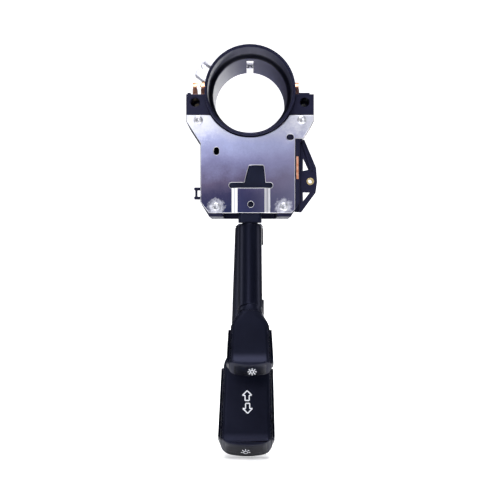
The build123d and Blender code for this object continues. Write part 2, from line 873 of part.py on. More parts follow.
with BuildPart() as divider:
    with BuildSketch(facing_front(divider_rear_y)):
        with BuildLine():
            Polyline(
                (0, cavity_top_z - edge_gap),
                (cavity_half_width - edge_gap, cavity_top_z - edge_gap),
                (cavity_half_width - edge_gap, corner_z + cavity_corner),
                (corner_x - cavity_corner - edge_gap, cavity_bottom_z + edge_gap),
                (0, cavity_bottom_z + edge_gap),
            )
            mirror(about=Plane.YZ)
        make_face()
        with Locations((0, spindle_z)):
            Circle(spindle_radius + fit_gap, mode=Mode.SUBTRACT)
        with Locations(*low_screws):
            Circle(boss_radius + edge_gap, mode=Mode.SUBTRACT)
    extrude(amount=divider_thickness)
    with BuildSketch(facing_front(divider_front_y)):
        with Locations(*detent_places(light_swing)):
            Rectangle(notch_width, notch_width)
    extrude(amount=-notch_depth, mode=Mode.SUBTRACT)
    with BuildSketch(facing_front(divider_front_y)):
        with Locations((0, shelf_z - shelf_thickness / 2)):
            Rectangle(shelf_width, shelf_thickness)
    extrude(amount=shelf_length)
save(divider.part, "divider")


# ---------------------------------------------------------------- detent plunger, spring, contact
def detent_plunger(tip_y):
    """A plunger that points to the rear, with a bevelled tip just short of the notched wall."""
    with BuildPart() as plunger:
        with BuildSketch(facing_front(tip_y - plunger_length)):
            with Locations((0, spindle_z - plunger_seat)):
                Circle(plunger_radius)
        extrude(amount=-plunger_length)
        chamfer(plunger.faces().sort_by(Axis.Y)[-1].edges(), plunger_tip_chamfer)
    return plunger.part


def compression_spring(foot, direction, coil_radius, height, turns):
    """A square-wire spring that climbs from its foot along a direction."""
    with BuildPart() as spring:
        with BuildLine():
            coil = Helix(height / turns, height, coil_radius, center=foot, direction=direction)
        with BuildSketch(Plane(origin=coil @ 0, z_dir=coil % 0)):
            RegularPolygon(spring_wire_radius, 4)
        sweep(is_frenet=True)
    return spring.part


def detent_spring(tip_y):
    """The spring behind a detent plunger, between it and the blind end of its hole."""
    hole_end = tip_y - plunger_length - detent_spring_length
    foot = (0, hole_end + spring_end, spindle_z - plunger_seat)
    coil_radius = plunger_radius - spring_wire_radius
    height = detent_spring_length - 2 * spring_end
    return compression_spring(foot, (0, 1, 0), coil_radius, height, spring_turns)


def bridge_contact(yoke_rear_y):
    """The copper bridge on a yoke's rear face."""
    with BuildPart() as bridge:
        with BuildSketch(facing_front(yoke_rear_y)):
            for side in (-1, 1):
                with Locations((side * bridge_x, bridge_z)):
                    Rectangle(bridge_length, bridge_width)
        extrude(amount=-bridge_thickness)
    return bridge.part


# ---------------------------------------------------------------- light lever
with BuildPart() as light_yoke:
    with BuildSketch(facing_front(light_rear_y)):
        with Locations((0, spindle_z)):
            Circle(hub_radius)
        with BuildLine():
            Polyline(
                (0, spindle_z),
                (hub_radius, spindle_z),
                (yoke_half_width, yoke_top_z),
                (yoke_half_width, yoke_bottom_z),
                (light_neck_width / 2, light_shoulder_z),
                (light_neck_width / 2, light_neck_top_z),
                (0, light_neck_top_z),
            )
            mirror(about=Plane.YZ)
        make_face()
    extrude(amount=light_rear_y - light_front_y)
    with BuildSketch(Plane.XY.offset(light_neck_top_z)):
        with Locations((0, light_neck_y)):
            RectangleRounded(light_neck_width, light_neck_depth, light_neck_corner)
    extrude(amount=light_neck_end_z - light_neck_top_z)
    with BuildSketch(light_plane.offset(-light_core_root)):
        Circle(light_core_radius)
    extrude(amount=light_core_length + light_core_root)
    with BuildSketch(facing_front(light_rear_y)):
        with Locations((0, spindle_z)):
            Circle(spindle_radius + running_clearance)
    extrude(amount=light_rear_y - light_front_y, mode=Mode.SUBTRACT)
    with BuildSketch(facing_front(light_rear_y)):
        with Locations((0, spindle_z - plunger_seat)):
            Circle(plunger_radius + fit_gap)
    extrude(amount=light_rear_y - (light_tip_y - plunger_length - detent_spring_length), mode=Mode.SUBTRACT)
save(light_yoke.part, "light_yoke")
save(detent_plunger(light_tip_y), "light_detent_plunger")
save(detent_spring(light_tip_y), "light_detent_spring")
save(bridge_contact(light_rear_y), "light_contact")


def lever_sleeve(top_plane, seam_plane, length, top_radius, end_radius, bore):
    """A tapered tube down from the top plane, cut off on the slanting seam."""
    with BuildPart() as sleeve:
        overrun = length + end_radius
        slope = (end_radius - top_radius) / length
        with BuildSketch(top_plane):
            Circle(top_radius)
        with BuildSketch(top_plane.offset(overrun)):
            Circle(top_radius + slope * overrun)
        loft()
        chamfer(sleeve.edges().sort_by(Axis.Z)[-1], sleeve_chamfer)
        with BuildSketch(top_plane):
            Circle(bore)
        extrude(amount=overrun, mode=Mode.SUBTRACT)
        split(bisect_by=seam_plane, keep=Keep.BOTTOM)
    return sleeve.part


def lever_paddle(sleeve_plane, sleeve_length, spigot, seam_plane, paddle_plane, lean, sizes):
    """A paddle below the slanting seam: a round neck, a flare, then a blade with a wider waistband."""
    neck, width, shoulder, blade, tip, length, end_corner = sizes
    face_width = width - 2 * side_step
    neck_corner = neck - round_margin
    blade_top = paddle_plane.offset(neck_straight + shoulder)
    blade_end = paddle_plane.offset(length + width / 2)
    with BuildSketch() as end_outline:
        with BuildLine():
            end_arc = ThreePointArc((-width / 2, end_sagitta), (0, 0), (width / 2, end_sagitta))
            Polyline(end_arc @ 1, (width / 2, width), (-width / 2, width), end_arc @ 0)
        make_face()
        fillet(end_outline.vertices().sort_by(Axis.Y)[:2], end_corner)
    with BuildPart() as paddle:
        with BuildSketch(paddle_plane.offset(-neck)):
            RectangleRounded(2 * neck, 2 * neck, neck_corner)
        extrude(amount=neck + neck_straight)
        for step in range(flare_steps + 1):
            share = (1 - cos(radians(180 * step / flare_steps))) / 2
            with BuildSketch(paddle_plane.offset(neck_straight + shoulder * step / flare_steps)):
                RectangleRounded(
                    2 * neck + share * (face_width - blade_spread - 2 * neck),
                    2 * neck + share * (blade - 2 * neck),
                    neck_corner + share * (blade_corner - neck_corner),
                )
        loft()
        with BuildSketch(blade_top):
            RectangleRounded(face_width - blade_spread, blade, blade_corner)
        with BuildSketch(blade_end):
            RectangleRounded(face_width, tip, tip_corner)
        loft(ruled=True)
        with BuildSketch(blade_top):
            RectangleRounded(width - blade_spread, waistband, waistband_corner)
        with BuildSketch(blade_end):
            RectangleRounded(width, waistband, waistband_corner)
        loft(ruled=True)
        split(bisect_by=seam_plane, keep=Keep.TOP)
        end_point = paddle_plane.from_local_coords(Vector(0, 0, length))
        with BuildSketch(across_lever(end_point, end_face_tilt, lean)):
            Rectangle(2 * width, 2 * width)
            add(end_outline.sketch_local, mode=Mode.SUBTRACT)
        extrude(amount=width, both=True, mode=Mode.SUBTRACT)
        with BuildSketch(sleeve_plane.offset(sleeve_length - spigot_length)):
            Circle(spigot)
        extrude(amount=spigot_length + spigot_root)
    return paddle.part


save(
    lever_sleeve(light_plane, light_seam, light_length, light_top_radius, light_end_radius,
                 light_core_radius + fit_gap),
    "light_sleeve",
)
save(
    lever_paddle(
        light_plane, light_length, light_core_radius, light_seam, light_paddle_plane, 0,
        (light_end_radius, light_paddle_width, light_shoulder, light_blade, light_tip_thickness,
         light_paddle_length, light_end_corner),
    ),
    "light_paddle",
)

# ---------------------------------------------------------------- turn lever
with BuildPart() as turn_yoke:
    with BuildSketch(facing_front(turn_rear_y)):
        with Locations((0, spindle_z)):
            Circle(hub_radius)
        with BuildLine():
            Polyline(
                (0, spindle_z),
                (hub_radius, spindle_z),
                (yoke_half_width, yoke_top_z),
                (yoke_half_width, yoke_bottom_z),
                (fork_half_width, fork_shoulder_z),
                (fork_half_width, fork_end_z),
                (0, fork_end_z),
            )
            mirror(about=Plane.YZ)
        make_face()
        with Locations((0, spindle_z)):
            Circle(spindle_radius + running_clearance, mode=Mode.SUBTRACT)
    extrude(amount=turn_rear_y - turn_front_y)
    with BuildSketch(facing_front(turn_rear_y)):
        with Locations((0, (fork_top_z + fork_end_z) / 2)):
            Rectangle(turn_arm_width + 2 * fork_clearance, fork_top_z - fork_end_z)
    extrude(amount=turn_rear_y - turn_front_y, mode=Mode.SUBTRACT)
    with BuildSketch(facing_front(turn_rear_y)):
        with Locations((0, spindle_z - plunger_seat)):
            Circle(plunger_radius + fit_gap)
    extrude(amount=turn_rear_y - (turn_tip_y - plunger_length - detent_spring_length), mode=Mode.SUBTRACT)
    with BuildSketch(Plane.YZ):
        with Locations((pivot_y, pivot_z)):
            Circle(pivot_pin_radius + fit_gap)
    extrude(amount=yoke_half_width, both=True, mode=Mode.SUBTRACT)
save(turn_yoke.part, "turn_yoke")
save(detent_plunger(turn_tip_y), "turn_detent_plunger")
save(detent_spring(turn_tip_y), "turn_detent_spring")
save(bridge_contact(turn_rear_y), "turn_contact")

with BuildPart() as turn_pivot_pin:
    with BuildSketch(Plane.YZ):
        with Locations((pivot_y, pivot_z)):
            Circle(pivot_pin_radius)
    extrude(amount=fork_half_width, both=True)
save(turn_pivot_pin.part, "turn_pivot_pin")

with BuildPart() as turn_arm:
    with BuildSketch(Plane.YZ):
        with Locations((pivot_y, pivot_z)):
            Circle(arm_eye_radius)
        with BuildLine():
            Polyline(
                (pivot_y - turn_arm_depth / 2, pivot_z),
                (pivot_y + turn_arm_depth / 2, pivot_z),
                (pivot_y + turn_arm_depth / 2, arm_shoulder_z),
                (pivot_y - turn_arm_depth / 2, arm_shoulder_z),
                close=True,
            )
        make_face()
    extrude(amount=turn_arm_width / 2, both=True)
    with BuildSketch(Plane.XY.offset(arm_shoulder_z)):
        with Locations((0, arm_shoulder_y)):
            RectangleRounded(arm_shoulder_width, arm_shoulder_depth, arm_shoulder_corner)
    with BuildSketch(turn_plane):
        RectangleRounded(2 * turn_top_radius, 2 * turn_top_radius, turn_top_radius - round_margin)
    loft()
    with BuildSketch(turn_plane.offset(-turn_core_root)):
        Rectangle(core_bar, core_bar)
    extrude(amount=turn_core_length + turn_core_root)
    for rib in range(rib_count):
        with BuildSketch(turn_plane.offset(first_rib + rib * rib_pitch)):
            Circle(turn_core_radius - fit_gap)
        extrude(amount=rib_thickness)
    with BuildSketch(turn_plane.offset(key_start)):
        with Locations((0, -key_reach / 2)):
            Rectangle(channel_width - 2 * key_clearance, key_reach)
    extrude(amount=channel_length - key_start - key_clearance)
    with BuildSketch(Plane.YZ):
        with Locations((pivot_y, pivot_z)):
            Circle(pivot_pin_radius + running_clearance)
    extrude(amount=turn_arm_width, both=True, mode=Mode.SUBTRACT)
save(turn_arm.part, "turn_arm")

with BuildPart() as turn_sleeve:
    add(lever_sleeve(turn_plane, turn_seam, turn_length, turn_top_radius, turn_end_radius,
                     turn_core_radius))
    with BuildSketch(channel_plane):
        with Locations((0, channel_length / 2)):
            Rectangle(channel_width, channel_length)
        for cell in range(rib_count - 1):
            cell_y = first_rib + (rib_thickness + (2 * cell + 1) * rib_pitch) / 2
            with Locations((-side_slot_x, cell_y), (side_slot_x, cell_y)):
                Rectangle(side_slot_width, rib_pitch - rib_thickness)
    extrude(amount=2 * turn_end_radius, mode=Mode.SUBTRACT)
    with BuildSketch(turn_plane.offset(relief_start)):
        with Locations((turn_top_radius + turn_end_radius / 2 - relief_depth, 0)):
            Rectangle(turn_end_radius, 2 * turn_end_radius)
    extrude(amount=relief_length, mode=Mode.SUBTRACT)
save(turn_sleeve.part, "turn_sleeve")
save(
    lever_paddle(
        turn_plane, turn_length, turn_core_radius - fit_gap, turn_seam, turn_paddle_plane, turn_lean,
        (turn_end_radius, turn_paddle_width, turn_shoulder, turn_blade, turn_tip_thickness,
         turn_paddle_length, turn_end_corner),
    ),
    "turn_paddle",
)

# ---------------------------------------------------------------- cancelling pawl
with BuildPart() as cancel_pawl:
    with BuildSketch(facing_front(pawl_rear_y)):
        with Locations((0, (pawl_tip_z + pawl_foot_z) / 2)):
            Rectangle(pawl_width, pawl_tip_z - pawl_foot_z)
        with Locations((0, pawl_foot_z - pawl_foot_height / 2)):
            Rectangle(pawl_foot_width, pawl_foot_height)
    extrude(amount=pawl_depth)
    chamfer(cancel_pawl.faces().sort_by(Axis.Z)[-1].edges().filter_by(Axis.Y), pawl_tip_chamfer)
save(cancel_pawl.part, "cancel_pawl")

pawl_spring_foot = (0, pawl_rear_y - pawl_depth / 2, shelf_z + spring_end)
pawl_spring_height = pawl_foot_z - pawl_foot_height - shelf_z - 2 * spring_end
save(
    compression_spring(pawl_spring_foot, (0, 0, 1), pawl_spring_radius, pawl_spring_height, spring_turns),
    "pawl_spring",
)
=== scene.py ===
"""Looks of the combination stalk switch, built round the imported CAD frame.

X runs across the housing, the driver is on the -Y side and the levers hang down along -Z. Names
and arguments give millimetres unless they say otherwise; Blender itself works in metres.
"""
import json
import math

import bmesh
import bpy
from mathutils import Matrix, Vector
from mathutils.bvhtree import BVHTree


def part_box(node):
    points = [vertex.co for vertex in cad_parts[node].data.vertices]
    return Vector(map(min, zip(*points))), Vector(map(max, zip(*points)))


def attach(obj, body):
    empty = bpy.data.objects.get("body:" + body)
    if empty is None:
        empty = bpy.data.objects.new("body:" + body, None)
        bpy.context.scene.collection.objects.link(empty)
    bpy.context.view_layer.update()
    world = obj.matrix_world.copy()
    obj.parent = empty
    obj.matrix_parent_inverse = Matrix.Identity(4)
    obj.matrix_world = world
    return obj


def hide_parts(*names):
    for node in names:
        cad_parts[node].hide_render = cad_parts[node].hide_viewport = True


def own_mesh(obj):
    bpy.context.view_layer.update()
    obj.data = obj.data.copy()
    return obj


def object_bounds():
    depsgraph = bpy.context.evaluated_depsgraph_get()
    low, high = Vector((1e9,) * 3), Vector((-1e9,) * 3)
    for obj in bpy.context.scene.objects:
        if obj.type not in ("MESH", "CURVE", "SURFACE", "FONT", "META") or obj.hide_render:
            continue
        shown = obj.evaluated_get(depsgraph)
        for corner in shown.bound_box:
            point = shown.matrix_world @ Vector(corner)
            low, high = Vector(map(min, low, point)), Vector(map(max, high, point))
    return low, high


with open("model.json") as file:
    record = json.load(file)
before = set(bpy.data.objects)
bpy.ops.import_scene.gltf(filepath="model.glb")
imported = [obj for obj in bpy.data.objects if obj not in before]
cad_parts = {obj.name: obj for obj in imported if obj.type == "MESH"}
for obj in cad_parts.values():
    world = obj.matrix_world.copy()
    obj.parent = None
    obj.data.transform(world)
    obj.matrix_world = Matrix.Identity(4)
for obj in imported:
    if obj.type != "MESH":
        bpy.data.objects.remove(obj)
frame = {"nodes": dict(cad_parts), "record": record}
cad_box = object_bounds()
nodes = frame["nodes"]
record = frame["record"]
body_of = {node: body for body, members in record["behaviour"]["bodies"].items() for node in members}
slot_of = {row["node"]: row["material_slot"] for row in record["subparts"]}

MM = 0.001
FRONT = Vector((0, -1, 0))
REAR = Vector((0, 1, 0))
UP = Vector((0, 0, 1))

# places on the CAD pieces
PLATE_FRONT_Y = -14.0
REAR_Y = 18.0
PLATFORM_Y = 19.0
TONGUE_TOP_Z = -53.6
LOW_SCREWS = ((-18.6, -64.0), (18.6, -64.0))

# ---------------------------------------------------------------- materials
# sockets of a colour Mix node that share their names with others
MIX_SHARE, MIX_FIRST, MIX_SECOND, MIXED = 0, 6, 7, 2


class Shader:
    """A material whose nodes are added one by one, all placed by the object's own coordinates."""

    def __init__(self, name):
        self.material = bpy.data.materials.new(name)
        self.material.use_nodes = True
        self.tree = self.material.node_tree
        self.tree.nodes.clear()
        self.out = self.node("ShaderNodeOutputMaterial")
        self.bsdf = self.node("ShaderNodeBsdfPrincipled")
        self.link(self.bsdf, "BSDF", self.out, "Surface")
        self.place = self.node("ShaderNodeTexCoord")

    def node(self, kind, **settings):
        made = self.tree.nodes.new(kind)
        for key, value in settings.items():
            setattr(made, key, value)
        return made

    def link(self, source, socket, target, entry):
        self.tree.links.new(source.outputs[socket], target.inputs[entry])

    def set(self, **sockets):
        """Constants on the shader's own sockets; an underscore stands for a space."""
        for key, value in sockets.items():
            self.bsdf.inputs[key.replace("_", " ")].default_value = value

    def noise(self, size_mm, detail=3.0, rough=0.55, stretch=(1, 1, 1), distortion=0.0):
        """Noise whose lumps are about size_mm across."""
        mapping = self.node("ShaderNodeMapping")
        mapping.inputs["Scale"].default_value = tuple(s / (size_mm * MM) for s in stretch)
        self.link(self.place, "Object", mapping, "Vector")
        made = self.node("ShaderNodeTexNoise")
        made.inputs["Scale"].default_value = 1.0
        made.inputs["Detail"].default_value = detail
        made.inputs["Roughness"].default_value = rough
        made.inputs["Distortion"].default_value = distortion
        self.link(mapping, "Vector", made, "Vector")
        return made

    def axes(self):
        """The object's coordinates, apart."""
        made = self.node("ShaderNodeSeparateXYZ")
        self.link(self.place, "Object", made, "Vector")
        return made

    def ramp(self, source, socket, stops):
        """A colour for each value, from stops of a place and a colour."""
        made = self.node("ShaderNodeValToRGB")
        points = made.color_ramp.elements
        while len(points) < len(stops):
            points.new(0.5)
        for point, (place, colour) in zip(points, stops):
            point.position = place
            point.color = (*colour, 1.0)
        self.link(source, socket, made, "Fac")
        return made

    def level(self, source, socket, low, high, from_low=0.0, from_high=1.0):
        """A number mapped from one range to another."""
        made = self.node("ShaderNodeMapRange")
        made.inputs["From Min"].default_value = from_low
        made.inputs["From Max"].default_value = from_high
        made.inputs["To Min"].default_value = low
        made.inputs["To Max"].default_value = high
        self.link(source, socket, made, "Value")
        return made

    def math(self, operation, first, first_socket, second=0.0, second_socket="Value"):
        """Arithmetic on a socket and a number or another socket."""
        made = self.node("ShaderNodeMath", operation=operation)
        self.link(first, first_socket, made, 0)
        if isinstance(second, (int, float)):
            made.inputs[1].default_value = second
        else:
            self.link(second, second_socket, made, 1)
        return made

    def within(self, source, socket, centre_mm, half_mm):
        """1 where a length lies within half_mm of centre_mm, else 0."""
        made = self.math("COMPARE", source, socket, centre_mm * MM)
        made.inputs[2].default_value = half_mm * MM
        return made

    def vector(self, operation, first, first_socket, second=(0, 0, 0)):
        """Vector arithmetic on a socket and a constant."""
        made = self.node("ShaderNodeVectorMath", operation=operation)
        self.link(first, first_socket, made, 0)
        made.inputs[1].default_value = second
        return made

    def tint(self, colour):
        made = self.node("ShaderNodeRGB")
        made.outputs[0].default_value = (*colour, 1.0)
        return made

    def mix(self, first, first_socket, second, second_socket, share, share_socket):
        """Two colours mixed by a share of the second."""
        made = self.node("ShaderNodeMix", data_type="RGBA")
        self.link(first, first_socket, made, MIX_FIRST)
        self.link(second, second_socket, made, MIX_SECOND)
        self.link(share, share_socket, made, MIX_SHARE)
        return made

    def bump(self, source, socket, depth_mm, strength=1.0, under=None):
        """Relief of a depth, laid on another relief if one is given."""
        made = self.node("ShaderNodeBump")
        made.inputs["Distance"].default_value = depth_mm * MM
        made.inputs["Strength"].default_value = strength
        self.link(source, socket, made, "Height")
        if under:
            self.link(under, "Normal", made, "Normal")
        return made


# each band of the collar, painted light or shade: its radius, half its width, whether it ends at the bore's
# mouth, its colour
COLLAR_PAINTED_BANDS = (
    # painted reflection, pale, along the bore wall
    (21.0, 0.25, False, (0.070, 0.070, 0.135)),
    # painted light, grey, on the recess wall
    (23.4, 0.20, True, (0.035, 0.036, 0.068)),
    # painted shade, nearly black, on the cone
    (22.2, 0.98, True, (0.0008, 0.001, 0.003)),
)
BORE_MOUTH_Y = 0.2


def collar_painted_light(s, shade):
    """The collar's painted light: a pale painted reflection on the bore, a grey recess wall painted as lit
    and a cone painted nearly black as shade.
    """
    reach = s.vector("LENGTH", s.vector("MULTIPLY", s.place, "Object", (1, 0, 1)), "Vector")
    front = s.math("LESS_THAN", s.axes(), "Y", BORE_MOUTH_Y * MM)
    for radius, half_width, front_only, colour in COLLAR_PAINTED_BANDS:
        ring = s.within(reach, "Value", radius, half_width)
        if front_only:
            ring = s.math("MULTIPLY", ring, "Value", front)
        shade = s.mix(shade, MIXED, s.tint(colour), "Color", ring, "Value")
    return shade


CLOUD_MM, SCUFF_MM, FLOW_MM = 14.0, 3.0, 5.0
FLOW_DEPTH = 0.03
PLASTIC_SHEEN = (0.55, 0.58, 1.0, 1.0)


def moulded_plastic(name, dark, light, rough, specular, grain_mm=0.35, grain_depth=0.012, collar=False):
    """Moulded plastic: slow shade changes, fine grain, faint flow marks and handling scuffs."""
    s = Shader(name)
    shade = s.ramp(s.noise(CLOUD_MM, detail=4), "Fac", [(0.3, dark), (0.72, light)])
    scuffs = s.noise(SCUFF_MM, detail=8, rough=0.7, stretch=(1, 0.35, 0.2), distortion=0.6)
    scuff_share = s.level(scuffs, "Fac", low=0.0, high=0.22, from_low=0.62, from_high=0.8)
    pale = s.tint([min(1.0, c * 2.2 + 0.012) for c in light])
    worn = s.mix(shade, "Color", pale, "Color", scuff_share, "Result")
    # with collar set, the collar's painted reflection, painted light and painted shade are laid over the
    # plastic
    if collar:
        worn = collar_painted_light(s, worn)
    s.link(worn, MIXED, s.bsdf, "Base Color")
    grain = s.noise(grain_mm, detail=2)
    flow = s.noise(FLOW_MM, detail=2, stretch=(1, 1, 0.3))
    s.link(s.level(grain, "Fac", rough - 0.06, rough + 0.08), "Result", s.bsdf, "Roughness")
    fine = s.bump(grain, "Fac", grain_depth, strength=0.8)
    s.link(s.bump(flow, "Fac", FLOW_DEPTH, 0.35, under=fine), "Normal", s.bsdf, "Normal")
    s.set(Specular_IOR_Level=specular, Specular_Tint=PLASTIC_SHEEN)
    return s.material


METAL_GRAIN_DEPTH = 0.01


def plated_metal(name, dark, light, rough, metallic=1.0, brushed=(1, 1, 1), grain_mm=0.5, patch_mm=3.2):
    """Plated or bare metal: patchy shade and grain along the working direction."""
    s = Shader(name)
    patches = s.noise(patch_mm, detail=5, rough=0.6)
    s.link(s.ramp(patches, "Fac", [(0.32, dark), (0.7, light)]), "Color", s.bsdf, "Base Color")
    grain = s.noise(grain_mm, detail=4, stretch=brushed)
    s.link(s.level(grain, "Fac", rough - 0.07, rough + 0.1), "Result", s.bsdf, "Roughness")
    s.link(s.bump(grain, "Fac", METAL_GRAIN_DEPTH, strength=0.6), "Normal", s.bsdf, "Normal")
    s.set(Metallic=metallic)
    return s.material


# the film's tint with a painted reflection over the sheet's height, dark blue at the bottom and pale lavender
# at the top
FILM_AND_PAINTED_REFLECTION = [
    (0.02, (0.017, 0.022, 0.075)),
    (0.20, (0.036, 0.034, 0.090)),
    (0.36, (0.105, 0.088, 0.160)),
    (0.52, (0.215, 0.215, 0.380)),
    (0.72, (0.400, 0.430, 0.680)),
    (0.95, (0.760, 0.780, 0.920)),
]
REFLECTION_BOTTOM_Z, REFLECTION_TOP_Z = -68.0, -14.0
FILM_EDGE_X = 26.0
WARP_MM, WARP_DRIFT, WARP_DEPTH = 15.0, 0.16, 0.10
SPOT_MM, SPOT_DRIFT, SPOT_DEPTH = 0.9, 0.07, 0.012
BLOTCH_MM = 1.6
RIGHT_SHADE, RIGHT_SHARE = (0.30, 0.29, 0.44), 0.45
BLOOM_SHADE = (0.80, 0.81, 0.90)
# painted highlight on the tongue's flanks
FLANK_HIGHLIGHT = (0.90, 0.90, 0.94)
# painted highlight on the sheet's rounded edges
EDGE_HIGHLIGHT = (0.93, 0.93, 0.96)
SCREW_BLOOM = 0.60
SCREW_BLOOM_FROM, SCREW_BLOOM_TO = 2.0, 7.0
CORNER_BLOOM = 0.62
CORNER_X_FROM, CORNER_X_TO = 9.0, 26.0
CORNER_Z_FROM, CORNER_Z_TO = -36.0, -17.0
TONGUE_FLANKS = (-8.5, 9.5)
FLANK_HALF_WIDTH = 1.6
DIM_MIDDLE_HALF_WIDTH = 0.45
MIDDLE_DIMMING = 0.35


def sheet_film_and_painted_reflection(s, axes, warp, spots):
    """The sheet's colour: the film's own violet blue tint under a painted reflection that runs from dark blue
    at the bottom to pale lavender at the top; duller to the right.
    """
    height = s.level(axes, "Z", 0.0, 1.0, REFLECTION_BOTTOM_Z * MM, REFLECTION_TOP_Z * MM)
    drift = s.math("ADD", height, "Result", s.level(warp, "Fac", -WARP_DRIFT, WARP_DRIFT), "Result")
    spotted = s.math("ADD", drift, "Value", s.level(spots, "Fac", -SPOT_DRIFT, SPOT_DRIFT), "Result")
    tint_and_reflection = s.ramp(spotted, "Value", FILM_AND_PAINTED_REFLECTION)
    right = s.level(axes, "X", 0.0, RIGHT_SHARE, 0.0, FILM_EDGE_X * MM)
    return s.mix(tint_and_reflection, "Color", s.tint(RIGHT_SHADE), "Color", right, "Result")


def sheet_bloom(s, axes):
    """Where the sheet has white bloom: round the lower screws and in the upper corners."""
    rings = []
    for x, z in LOW_SCREWS:
        away = s.vector("DISTANCE", s.place, "Object", (x * MM, PLATE_FRONT_Y * MM, z * MM))
        rings.append(s.level(away, "Value", SCREW_BLOOM, 0.0, SCREW_BLOOM_FROM * MM, SCREW_BLOOM_TO * MM))
    bloom = s.math("MAXIMUM", rings[0], "Result", rings[1], "Result")
    outwards = s.level(s.math("ABSOLUTE", axes, "X"), "Value", 0.0, 1.0,
                       CORNER_X_FROM * MM, CORNER_X_TO * MM)
    upwards = s.level(axes, "Z", 0.0, CORNER_BLOOM, CORNER_Z_FROM * MM, CORNER_Z_TO * MM)
    corner = s.math("MULTIPLY", outwards, "Result", upwards, "Result")
    return s.math("MAXIMUM", bloom, "Value", corner, "Value")


def tongue_flank_highlight(s, axes, centre):
    """The share of a painted highlight along a flank of the tongue, dimmed along its middle."""
    strip = s.math("MULTIPLY", s.within(axes, "X", centre, FLANK_HALF_WIDTH), "Value",
                   s.math("LESS_THAN", axes, "Z", TONGUE_TOP_Z * MM))
    dim_middle = s.math("MULTIPLY", s.within(axes, "X", centre, DIM_MIDDLE_HALF_WIDTH), "Value", MIDDLE_DIMMING)
    return s.math("MAXIMUM", s.math("SUBTRACT", strip, "Value", dim_middle), "Value")


def passivated_sheet(name):
    """Zinc sheet with a thin violet blue passivation film, under a painted reflection that runs from dark
    blue at the bottom to pale lavender at the top.
    """
    s = Shader(name)
    axes = s.axes()
    warp = s.noise(WARP_MM, detail=3, rough=0.5)
    spots = s.noise(SPOT_MM, detail=6, rough=0.7)
    blotch = s.noise(BLOTCH_MM, detail=6, rough=0.75)
    shade = sheet_film_and_painted_reflection(s, axes, warp, spots)
    bloom = s.math("ADD", sheet_bloom(s, axes), "Value", blotch, "Fac")
    speckled = s.level(bloom, "Value", low=0.0, high=0.85, from_low=0.72, from_high=1.10)
    shade = s.mix(shade, MIXED, s.tint(BLOOM_SHADE), "Color", speckled, "Result")
    # painted highlights along the tongue's two flanks, where its bends would catch the light
    for centre in TONGUE_FLANKS:
        flank = tongue_flank_highlight(s, axes, centre)
        shade = s.mix(shade, MIXED, s.tint(FLANK_HIGHLIGHT), "Color", flank, "Value")
    # painted highlight: faces that turn away from the front, the rounded cut edges and rims, are painted near
    # white
    facing = s.node("ShaderNodeSeparateXYZ")
    s.link(s.node("ShaderNodeNewGeometry"), "Normal", facing, "Vector")
    frontal = s.math("ABSOLUTE", facing, "Y")
    edge = s.level(frontal, "Value", low=1.0, high=0.0, from_low=0.86, from_high=0.985)
    s.link(s.mix(shade, MIXED, s.tint(EDGE_HIGHLIGHT), "Color", edge, "Result"), MIXED, s.bsdf, "Base Color")
    s.link(s.level(spots, "Fac", low=0.34, high=0.52), "Result", s.bsdf, "Roughness")
    waves = s.bump(warp, "Fac", WARP_DEPTH, strength=0.20)
    s.link(s.bump(spots, "Fac", SPOT_DEPTH, strength=0.5, under=waves), "Normal", s.bsdf, "Normal")
    s.set(Metallic=0.8)
    return s.material


def pale_surface(name, lump_mm, stops, depth, strength, roughness, glow=0.0):
    """A pale matte surface, paper or ink: fine lumps in shade and relief."""
    s = Shader(name)
    lumps = s.noise(lump_mm, detail=4)
    s.link(s.ramp(lumps, "Fac", stops), "Color", s.bsdf, "Base Color")
    s.link(s.bump(lumps, "Fac", depth, strength), "Normal", s.bsdf, "Normal")
    s.set(Roughness=roughness, Emission_Color=(1, 1, 1, 1), Emission_Strength=glow)
    return s.material


def studio_white(name, glow):
    """Pale matte paper for the floor and the backdrop."""
    return pale_surface(name, 2.0, [(0.3, (0.93, 0.93, 0.94)), (0.7, (0.97, 0.97, 0.97))],
                        depth=0.02, strength=0.2, roughness=0.9, glow=glow)


BLACK = ((0.008, 0.008, 0.019), (0.013, 0.013, 0.031))
BLACK_ROUGHNESS = 0.40
BLACK_SPECULAR = 0.26

looks = {
    "black_moulding": moulded_plastic("black_moulding", *BLACK, BLACK_ROUGHNESS, BLACK_SPECULAR),
    "inner_moulding": moulded_plastic(
        "inner_moulding", (0.004, 0.006, 0.013), (0.008, 0.010, 0.024), 0.34, 0.26),
    "lever_plastic": moulded_plastic(
        "lever_plastic", (0.0015, 0.002, 0.005), (0.0028, 0.0035, 0.008), 0.34, 0.24,
        grain_mm=0.25, grain_depth=0.006),
    "plated_sheet": passivated_sheet("plated_sheet"),
    "plated_steel": plated_metal(
        "plated_steel", (0.50, 0.51, 0.56), (0.84, 0.84, 0.88), 0.28, 0.8),
    "band_steel": plated_metal(
        "band_steel", (0.66, 0.67, 0.76), (0.88, 0.88, 0.95), 0.30, 0.75, grain_mm=1.5, brushed=(1, 0.1, 1)),
    "spring_steel": plated_metal(
        "spring_steel", (0.26, 0.26, 0.29), (0.46, 0.46, 0.48), 0.30),
    "tinned_pin": plated_metal(
        "tinned_pin", (0.66, 0.61, 0.55), (0.88, 0.84, 0.77), 0.26, 0.8, patch_mm=6.0),
    "brass": plated_metal("brass", (0.62, 0.46, 0.20), (0.95, 0.80, 0.46), 0.28, 0.7),
    "brass_screw": plated_metal(
        "brass_screw", (0.36, 0.22, 0.10), (0.70, 0.50, 0.28), 0.30, 0.85),
    "copper": plated_metal(
        "copper", (0.66, 0.20, 0.10), (0.98, 0.60, 0.42), 0.30, 0.65, patch_mm=1.6),
}
